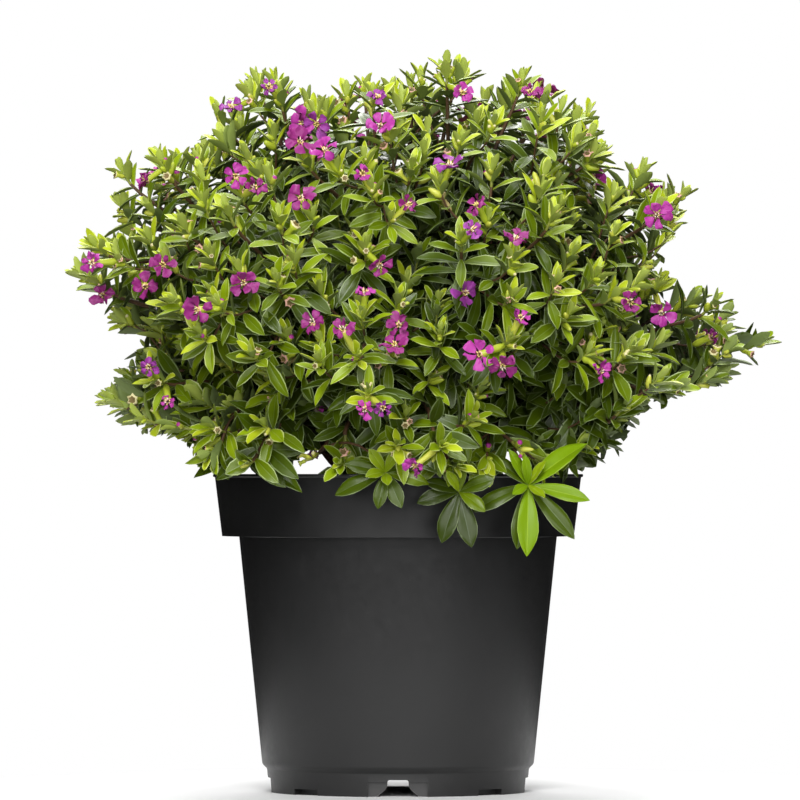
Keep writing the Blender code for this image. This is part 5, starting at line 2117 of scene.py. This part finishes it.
@dataclass
class NurseryPot:
    """The thin-walled nursery pot: rim band, tapering body, stepped foot, air channels and notches."""

    sides: int = 144
    channel_width: float = 0.0085
    channel_mouth: float = 0.0170
    channel_height: float = 0.0068
    channel_flare: float = 0.0042
    arch: tuple[float, float, float] = (0.0240, 0.0059, 0.0040)
    drain: tuple[float, float, float] = (0.0130, 0.0024, 0.0040)
    below: float = -0.0020
    edge_ease: float = 0.0004
    flare_steps: tuple[float, ...] = (0.66, 0.33, 0.0)
    flare_power: float = 1.6
    sharpest: float = 28.0

    def outside(self) -> tuple[tuple[float, float], ...]:
        """Lists the outside's profile, from the middle of the foot up to the lip.

        Returns:
            Its radii and heights.
        """
        ease = self.edge_ease
        return eased((
            (FOOT_RADIUS - 0.004, 0.0, 0.0), (FOOT_RADIUS, 0.0, ease), (FOOT_TOP_RADIUS, FOOT_TOP, ease),
            (BODY_FOOT_RADIUS, BODY_FOOT, 0.0009), (BODY_TOP_RADIUS, BAND_FOOT, 0.0005),
            (BAND_FOOT_RADIUS, BAND_FOOT, 0.0), (BAND_TOP_RADIUS, POT_HEIGHT - LIP_DEPTH - 0.0002, 0.0003),
            (LIP_RADIUS, POT_HEIGHT - LIP_DEPTH, 0.0003), (LIP_RADIUS, POT_HEIGHT, ease),
            (BAND_TOP_RADIUS - WALL - 0.001, POT_HEIGHT, 0.0)))

    def inside(self) -> tuple[tuple[float, float], ...]:
        """Lists the inside's profile, from the middle of the floor up past the lip.

        Returns:
            Its radii and heights.
        """
        ease = self.edge_ease
        return eased((
            (FOOT_RADIUS - WALL - 0.004, FLOOR, 0.0), (FOOT_RADIUS - WALL, FLOOR, ease),
            (FOOT_TOP_RADIUS - WALL, FOOT_TOP, 0.0), (BODY_FOOT_RADIUS - WALL, BODY_FOOT + WALL, 0.0009),
            (BODY_TOP_RADIUS - WALL, BAND_FOOT + WALL, 0.0009),
            (BAND_FOOT_RADIUS - WALL, BAND_FOOT + WALL, 0.0009),
            (BAND_TOP_RADIUS - WALL, POT_HEIGHT - LIP_DEPTH, 0.0006),
            (BAND_TOP_RADIUS - WALL + ease, POT_HEIGHT, 0.0002),
            (BAND_TOP_RADIUS - WALL + ease + 0.0004, POT_HEIGHT + 0.002, 0.0)))

    def block(self, width: float, depth: float, top: float, back: float) -> Object:
        """Starts a cutter as a box that reaches from below the ground, and edits it.

        Args:
            width: Its width.
            depth: Its depth.
            top: The height of its top.
            back: How far back from the pot's axis its middle lies.

        Returns:
            The box, in edit mode.
        """
        deselect_all()
        bpy.ops.mesh.primitive_cube_add(size=1.0, location=(0.0, back, (top + self.below) / 2))
        obj = bpy.context.object
        obj.scale = (width, depth, top - self.below)
        apply_placing()
        bpy.ops.object.mode_set(mode="EDIT")
        return obj

    def channel(self, grown: float, half_length: float) -> Object:
        """Models a cutter for an air channel, which flares where it meets the ground.

        Args:
            grown: How much larger than the channel it is.
            half_length: Half its length.

        Returns:
            The cutter.
        """
        top = self.channel_height + grown
        width = self.channel_width + 2 * grown
        widest = (self.channel_mouth + 2 * grown) / width
        obj = self.block(width, 2 * half_length, top, 0.0)
        for share in (1.0, *self.flare_steps):
            bpy.ops.mesh.select_all(action="SELECT")
            bpy.ops.mesh.bisect(plane_co=(0.0, 0.0, share * self.channel_flare), plane_no=(0.0, 0.0, 1.0))
        for share in (*self.flare_steps, self.below / self.channel_flare):
            height = share * self.channel_flare
            open_up = 1.0 + (widest - 1.0) * (1.0 - max(0.0, share)) ** self.flare_power
            select_points(obj, points_at(obj, height))
            bpy.ops.transform.resize(value=(open_up, 1.0, 1.0), center_override=(0.0, 0.0, height))
        select_points(obj, points_at(obj, top))
        bpy.ops.mesh.bevel(offset=MM, segments=3, affect="EDGES")
        close_up()
        return obj

    def notch(self, width: float, height: float, depth: float) -> Object:
        """Models a cutter for a notch in the foot.

        Args:
            width: Its width.
            height: Its height.
            depth: Its depth.

        Returns:
            The cutter.
        """
        obj = self.block(width, 2 * depth, height, -FOOT_RADIUS)
        bm = bmesh.from_edit_mesh(obj.data)
        for edge in bm.edges:
            low, high = edge.verts
            edge.select = abs(low.co.y - high.co.y) > depth and min(low.co.z, high.co.z) > 0.0
        bm.select_flush_mode()
        bmesh.update_edit_mesh(obj.data)
        bpy.ops.mesh.bevel(offset=0.4 * height, segments=3, affect="EDGES")
        bpy.ops.object.mode_set(mode="OBJECT")
        return obj

    def cut_foot(self, piece: Object, grown: float, reach: float) -> None:
        """Cuts the two air channels, the four arches and the four drain notches.

        Args:
            piece: What they are cut from.
            grown: How much larger than the openings the cuts are.
            reach: Half the channels' length.
        """
        cuts = [(turn, self.channel, (grown, reach)) for turn in (0.0, math.pi / 2)]
        for quarter in range(4):
            for start, (width, height, depth) in ((0.0, self.arch), (math.pi / 4, self.drain)):
                size = (width + 2 * grown, height + grown, depth + grown)
                cuts.append((start + quarter * math.pi / 2, self.notch, size))
        for turn, model, sizes in cuts:
            cutter = model(*sizes)
            cutter.rotation_euler.z = turn
            cutter.location = POT_AXIS
            apply_placing()
            cut_from(piece, cutter)

    def build(self) -> Object:
        """Models the pot.

        Returns:
            The finished piece.
        """
        pot = TurnedShape("nursery_pot", self.sides, self.outside()).build()
        hollow = TurnedShape("pot_hollow", self.sides, self.inside()).build()
        self.cut_foot(hollow, WALL, FOOT_RADIUS + 2 * MM)
        cut_from(pot, hollow)
        self.cut_foot(pot, 0.0, LIP_RADIUS)
        finish_surface(pot, self.sharpest, MouldedPlastic().material())
        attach(pot, BODY)
        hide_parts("pot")
        return pot


@dataclass
class SoilBed:
    """The potting soil: a plug that fills the pot, rough on top and strewn with crumbs."""

    sides: int = 128
    rings: int = 26
    foot: float = 0.0088
    reliefs: tuple[Relief, ...] = (
        Relief("clods", 0.0088, 3, 0.55, 0.0022), Relief("grit", 0.0026, 3, 0.55, 0.0009))
    crumb_count: int = 900
    crumb_sizes: tuple[float, float] = (0.0005, 0.0015)
    kinds: tuple[float, ...] = (0.40, 0.36, 0.19, 0.05)
    sharpest: float = 50.0

    def build(self) -> list[Object]:
        """Returns the soil and what lies on it."""
        return [self.plug(), self.strewn()]

    def plug(self) -> Object:
        """Models the plug of soil.

        Returns:
            The piece.
        """
        slope = (BAND_TOP_RADIUS - BAND_FOOT_RADIUS) / (POT_HEIGHT - BAND_FOOT)
        shelf = BAND_FOOT_RADIUS - WALL - 2 * CLEAR
        edge = SOIL_TOP - SOIL_EDGE_DROP
        rim = shelf + slope * (edge - BAND_FOOT)
        side = [(BODY_FOOT_RADIUS - WALL - 0.0035, self.foot), (BODY_FOOT_RADIUS - WALL - CLEAR, 0.0130),
                (BODY_TOP_RADIUS - WALL - CLEAR, BAND_FOOT), (shelf - 0.0004, BAND_FOOT + 2 * WALL),
                (rim, edge)]
        shares = [1.0 - ring / self.rings for ring in range(1, self.rings)]
        top = [(rim * share, SOIL_TOP - SOIL_EDGE_DROP * share**3) for share in shares]
        plug = TurnedShape("potting_soil", self.sides, tuple(side + top)).build()
        subdivide(plug, 1, "SIMPLE")
        apply_modifiers(plug)
        above = plug.vertex_groups.new(name="above")
        above.add([v.index for v in plug.data.vertices if v.co.z > edge - 0.1 * MM], 1.0, "REPLACE")
        for relief in self.reliefs:
            modifier = relief.add_to(plug)
            modifier.direction = "Z"
            modifier.vertex_group = "above"
        apply_modifiers(plug)
        finish_surface(plug, self.sharpest, PottingSoil().material())
        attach(plug, BODY)
        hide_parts("soil")
        return plug

    def strewn(self) -> Object:
        """Strews crumbs of peat, chips of bark and a few grains of perlite over the soil.

        Returns:
            The piece.
        """
        rng = np.random.default_rng(SEED)
        bm = bmesh.new()
        bmesh.ops.create_icosphere(bm, subdivisions=1, radius=1.0)
        ball = np.array([v.co[:] for v in bm.verts])
        faces = Faces.listed([([v.index for v in face.verts], 0) for face in bm.faces])
        bm.free()
        count = self.crumb_count
        rim = BAND_FOOT_RADIUS - WALL - 0.0022
        far = rim * np.sqrt(rng.uniform(0.0, 1.0, count))
        turn = rng.uniform(0.0, math.tau, count)
        kind = rng.choice(4, count, p=self.kinds)
        size = rng.uniform(*self.crumb_sizes, count) * np.where(kind == 2, 1.5, 1.0)
        stretch = np.stack([rng.uniform(0.7, 1.5, count), rng.uniform(0.7, 1.3, count),
                            rng.uniform(0.4, 0.8, count)], axis=1)
        spin = rng.uniform(0.0, math.tau, count)
        points = ball[None] * (1.0 + rng.uniform(-0.18, 0.18, (count, len(ball), 1)))
        points = points * stretch[:, None, :] * size[:, None, None]
        cos, sin = np.cos(spin)[:, None], np.sin(spin)[:, None]
        x, y = points[..., 0] * cos - points[..., 1] * sin, points[..., 0] * sin + points[..., 1] * cos
        height = SOIL_TOP - SOIL_EDGE_DROP * (far / rim) ** 3 + 0.25 * size
        placed = np.stack([x + (far * np.cos(turn))[:, None], y + (far * np.sin(turn))[:, None],
                           points[..., 2] + height[:, None]], axis=2)
        joined = JoinedMesh("soil_crumbs")
        joined.add(placed, faces, kind[:, None])
        piece = joined.build(CRUMB_FINISHES)
        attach(piece, BODY)
        return piece


@dataclass
class BarkedWood:
    """The trunk and the boughs, with the relief of their bark."""

    framework: Framework
    trunk_sides: int = 18
    bough_sides: int = 10
    reliefs: tuple[Relief, ...] = (
        Relief("ridges", 0.0032, 2, 0.5, 0.00055), Relief("flakes", 0.0012, 2, 0.5, 0.0002475))
    sharpest: float = 60.0

    def limb(self, name: str, points: Sequence[Vector], radii: Sequence[float], sides: int) -> Object:
        """Models one limb: a ring at every point of its course, bridged to the one before.

        Args:
            name: The limb's name.
            points: Its course from the pot's axis.
            radii: Its radius at each point.
            sides: How many corners its rings have.

        Returns:
            The closed limb.
        """
        deselect_all()
        turns = turns_along(points)
        for index, (point, radius, turn) in enumerate(zip(points, radii, turns)):
            bpy.ops.mesh.primitive_circle_add(vertices=sides, radius=radius, location=point + POT_AXIS,
                                              rotation=turn.to_euler())
            if index == 0:
                obj = named(name)
                apply_placing()
                bpy.ops.object.mode_set(mode="EDIT")
                continue
            select_points(obj, range((index - 1) * sides, (index + 1) * sides))
            bpy.ops.mesh.bridge_edge_loops()
        for first in (0, (len(points) - 1) * sides):
            select_points(obj, range(first, first + sides))
            bpy.ops.mesh.edge_face_add()
        close_up()
        return obj

    def barked(self, wood: Object, levels: int, bark: Material) -> None:
        """Gives a limb smooth rings, the relief of its bark and its colour.

        Args:
            wood: The limb.
            levels: How often its faces are divided.
            bark: Its material.
        """
        subdivide(wood, levels, "CATMULL_CLARK")
        for relief in self.reliefs:
            relief.add_to(wood)
        apply_modifiers(wood)
        finish_surface(wood, self.sharpest, bark)

    def build(self) -> list[Object]:
        """Models the trunk and the boughs.

        Returns:
            The two pieces.
        """
        bark = Bark().material()
        trunk = self.limb("trunk_wood", *self.framework.trunk_course(), self.trunk_sides)
        self.barked(trunk, 2, bark)
        heights = self.framework.leaving_heights()
        boughs = [self.limb(f"bough_wood_{spray.name}",
                            *self.framework.bough_course(spray, heights[spray.name]), self.bough_sides)
                  for spray in SPRAYS[1:]]
        make_active(boughs[0])
        for bough in boughs:
            bough.select_set(True)
        bpy.ops.object.join()
        joined = named("bough_wood")
        self.barked(joined, 1, bark)
        for piece, nodes in ((trunk, ["trunk"]), (joined, [f"bough_{spray.name}" for spray in SPRAYS[1:]])):
            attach(piece, BODY)
            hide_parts(*nodes)
        return [trunk, joined]


def stand(name: str, data: Light | Camera, place: Sequence[float], target: Vector) -> Object:
    """Stands a light or a camera in the scene.

    Args:
        name: Its name.
        data: The light or the camera.
        place: Where it stands.
        target: What it points at.

    Returns:
        Its object.
    """
    obj = bpy.data.objects.new(name, data)
    bpy.context.scene.collection.objects.link(obj)
    obj.location = place
    obj.rotation_euler = (target - obj.location).to_track_quat("-Z", "Y").to_euler()
    return obj


@dataclass(frozen=True)
class Softbox:
    """One area light, so wide and so high."""

    name: str
    place: tuple[float, float, float]
    size: tuple[float, float]
    power: float

    def build(self, target: Vector) -> None:
        """Sets the light up.

        Args:
            target: What it points at.
        """
        light = bpy.data.lights.new(self.name, "AREA")
        light.shape = "RECTANGLE"
        light.size, light.size_y = self.size
        light.energy = self.power
        stand(self.name, light, self.place, target)


@dataclass
class Studio:
    """The pale floor, the soft lights and the camera."""

    view_width: float = 0.3243
    camera_side: float = -0.0086
    aim_height: float = 0.1585
    sensor: float = 36.0
    floor_radius: float = 0.21
    surround: float = 0.01
    light_target: float = 0.17
    softboxes: tuple[Softbox, ...] = (
        Softbox("key_softbox", (-0.10, -2.4, 1.9), (1.0, 1.0), 74.0),
        Softbox("front_softbox", (0.0, -3.0, 0.5), (6.0, 1.2), 108.0),
        Softbox("top_softbox", (0.0, 0.3, 2.3), (1.4, 1.4), 48.0),
        Softbox("back_softbox", (0.0, 2.4, 2.1), (1.8, 1.2), 68.0),
    )

    def floor(self) -> None:
        """Lays the plain pale floor, which isn't part of the object."""
        deselect_all()
        bpy.ops.mesh.primitive_circle_add(vertices=96, radius=self.floor_radius, fill_type="NGON")
        floor = bpy.context.object
        floor.name = "studio_floor"
        bench = NodeBench("pale_floor")
        colour = bench.ramp(bench.noise(3.0, 2.0), (0.3, (0.86, 0.86, 0.86)), (0.7, (0.88, 0.88, 0.88)))
        floor.data.materials.append(bench.finish(Base_Color=colour, Roughness=0.9, Specular_IOR_Level=0.1))

    def world(self) -> None:
        """Sets a white surround that lights the plant more softly than it shows."""
        world = bpy.data.worlds.new("white_surround")
        world.use_nodes = True
        nodes, links = world.node_tree.nodes, world.node_tree.links
        path = nodes.new("ShaderNodeLightPath")
        mix = nodes.new("ShaderNodeMixShader")
        links.new(path.outputs["Is Camera Ray"], mix.inputs["Fac"])
        lighting, shown = nodes.new("ShaderNodeBackground"), nodes["Background"]
        for socket, node, colour, strength in ((1, lighting, (1.0, 1.0, 0.98, 1.0), self.surround),
                                               (2, shown, (1.0, 1.0, 1.0, 1.0), 1.0)):
            node.inputs["Color"].default_value = colour
            node.inputs["Strength"].default_value = strength
            links.new(node.outputs["Background"], mix.inputs[socket])
        links.new(mix.outputs["Shader"], nodes["World Output"].inputs["Surface"])
        bpy.context.scene.world = world

    def camera(self) -> None:
        """Sets the camera where the photograph was taken from."""
        data = bpy.data.cameras.new("camera")
        data.sensor_fit = "HORIZONTAL"
        data.sensor_width = self.sensor
        data.lens = self.sensor * CAMERA_DISTANCE / self.view_width
        data.clip_end = 50.0
        place = (self.camera_side, -CAMERA_DISTANCE, CAMERA_HEIGHT)
        target = Vector((self.camera_side, 0.0, self.aim_height))
        bpy.context.scene.camera = stand("camera", data, place, target)

    def build(self) -> None:
        """Sets the studio up."""
        self.floor()
        self.world()
        self.camera()
        for softbox in self.softboxes:
            softbox.build(Vector((0.0, 0.0, self.light_target)))
        bpy.context.scene.view_settings.view_transform = "Standard"


def triangles(obj: Object) -> int:
    """Returns how many triangles an object's mesh has."""
    obj.data.calc_loop_triangles()
    return len(obj.data.loop_triangles)


def main() -> None:
    """Builds the studio, the pot, the soil, the wood and the crown, in that order."""
    logging.basicConfig(level=logging.INFO, format="%(message)s", stream=sys.stdout)
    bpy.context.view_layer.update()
    Studio().build()
    crown = Crown()
    crown.grow()
    pieces = [NurseryPot().build()]
    pieces += SoilBed().build()
    pieces += BarkedWood(Framework()).build()
    pieces += Foliage(crown).build()
    for piece in pieces:
        LOG.info("%s: %d triangles", piece.name, triangles(piece))
    LOG.info("%d shoots, %d leaves, %d tubes, %d flowers", len(crown.shoots), len(crown.leaves),
             len(crown.tubes), len(crown.flowers))


if __name__ == "__main__":
    main()
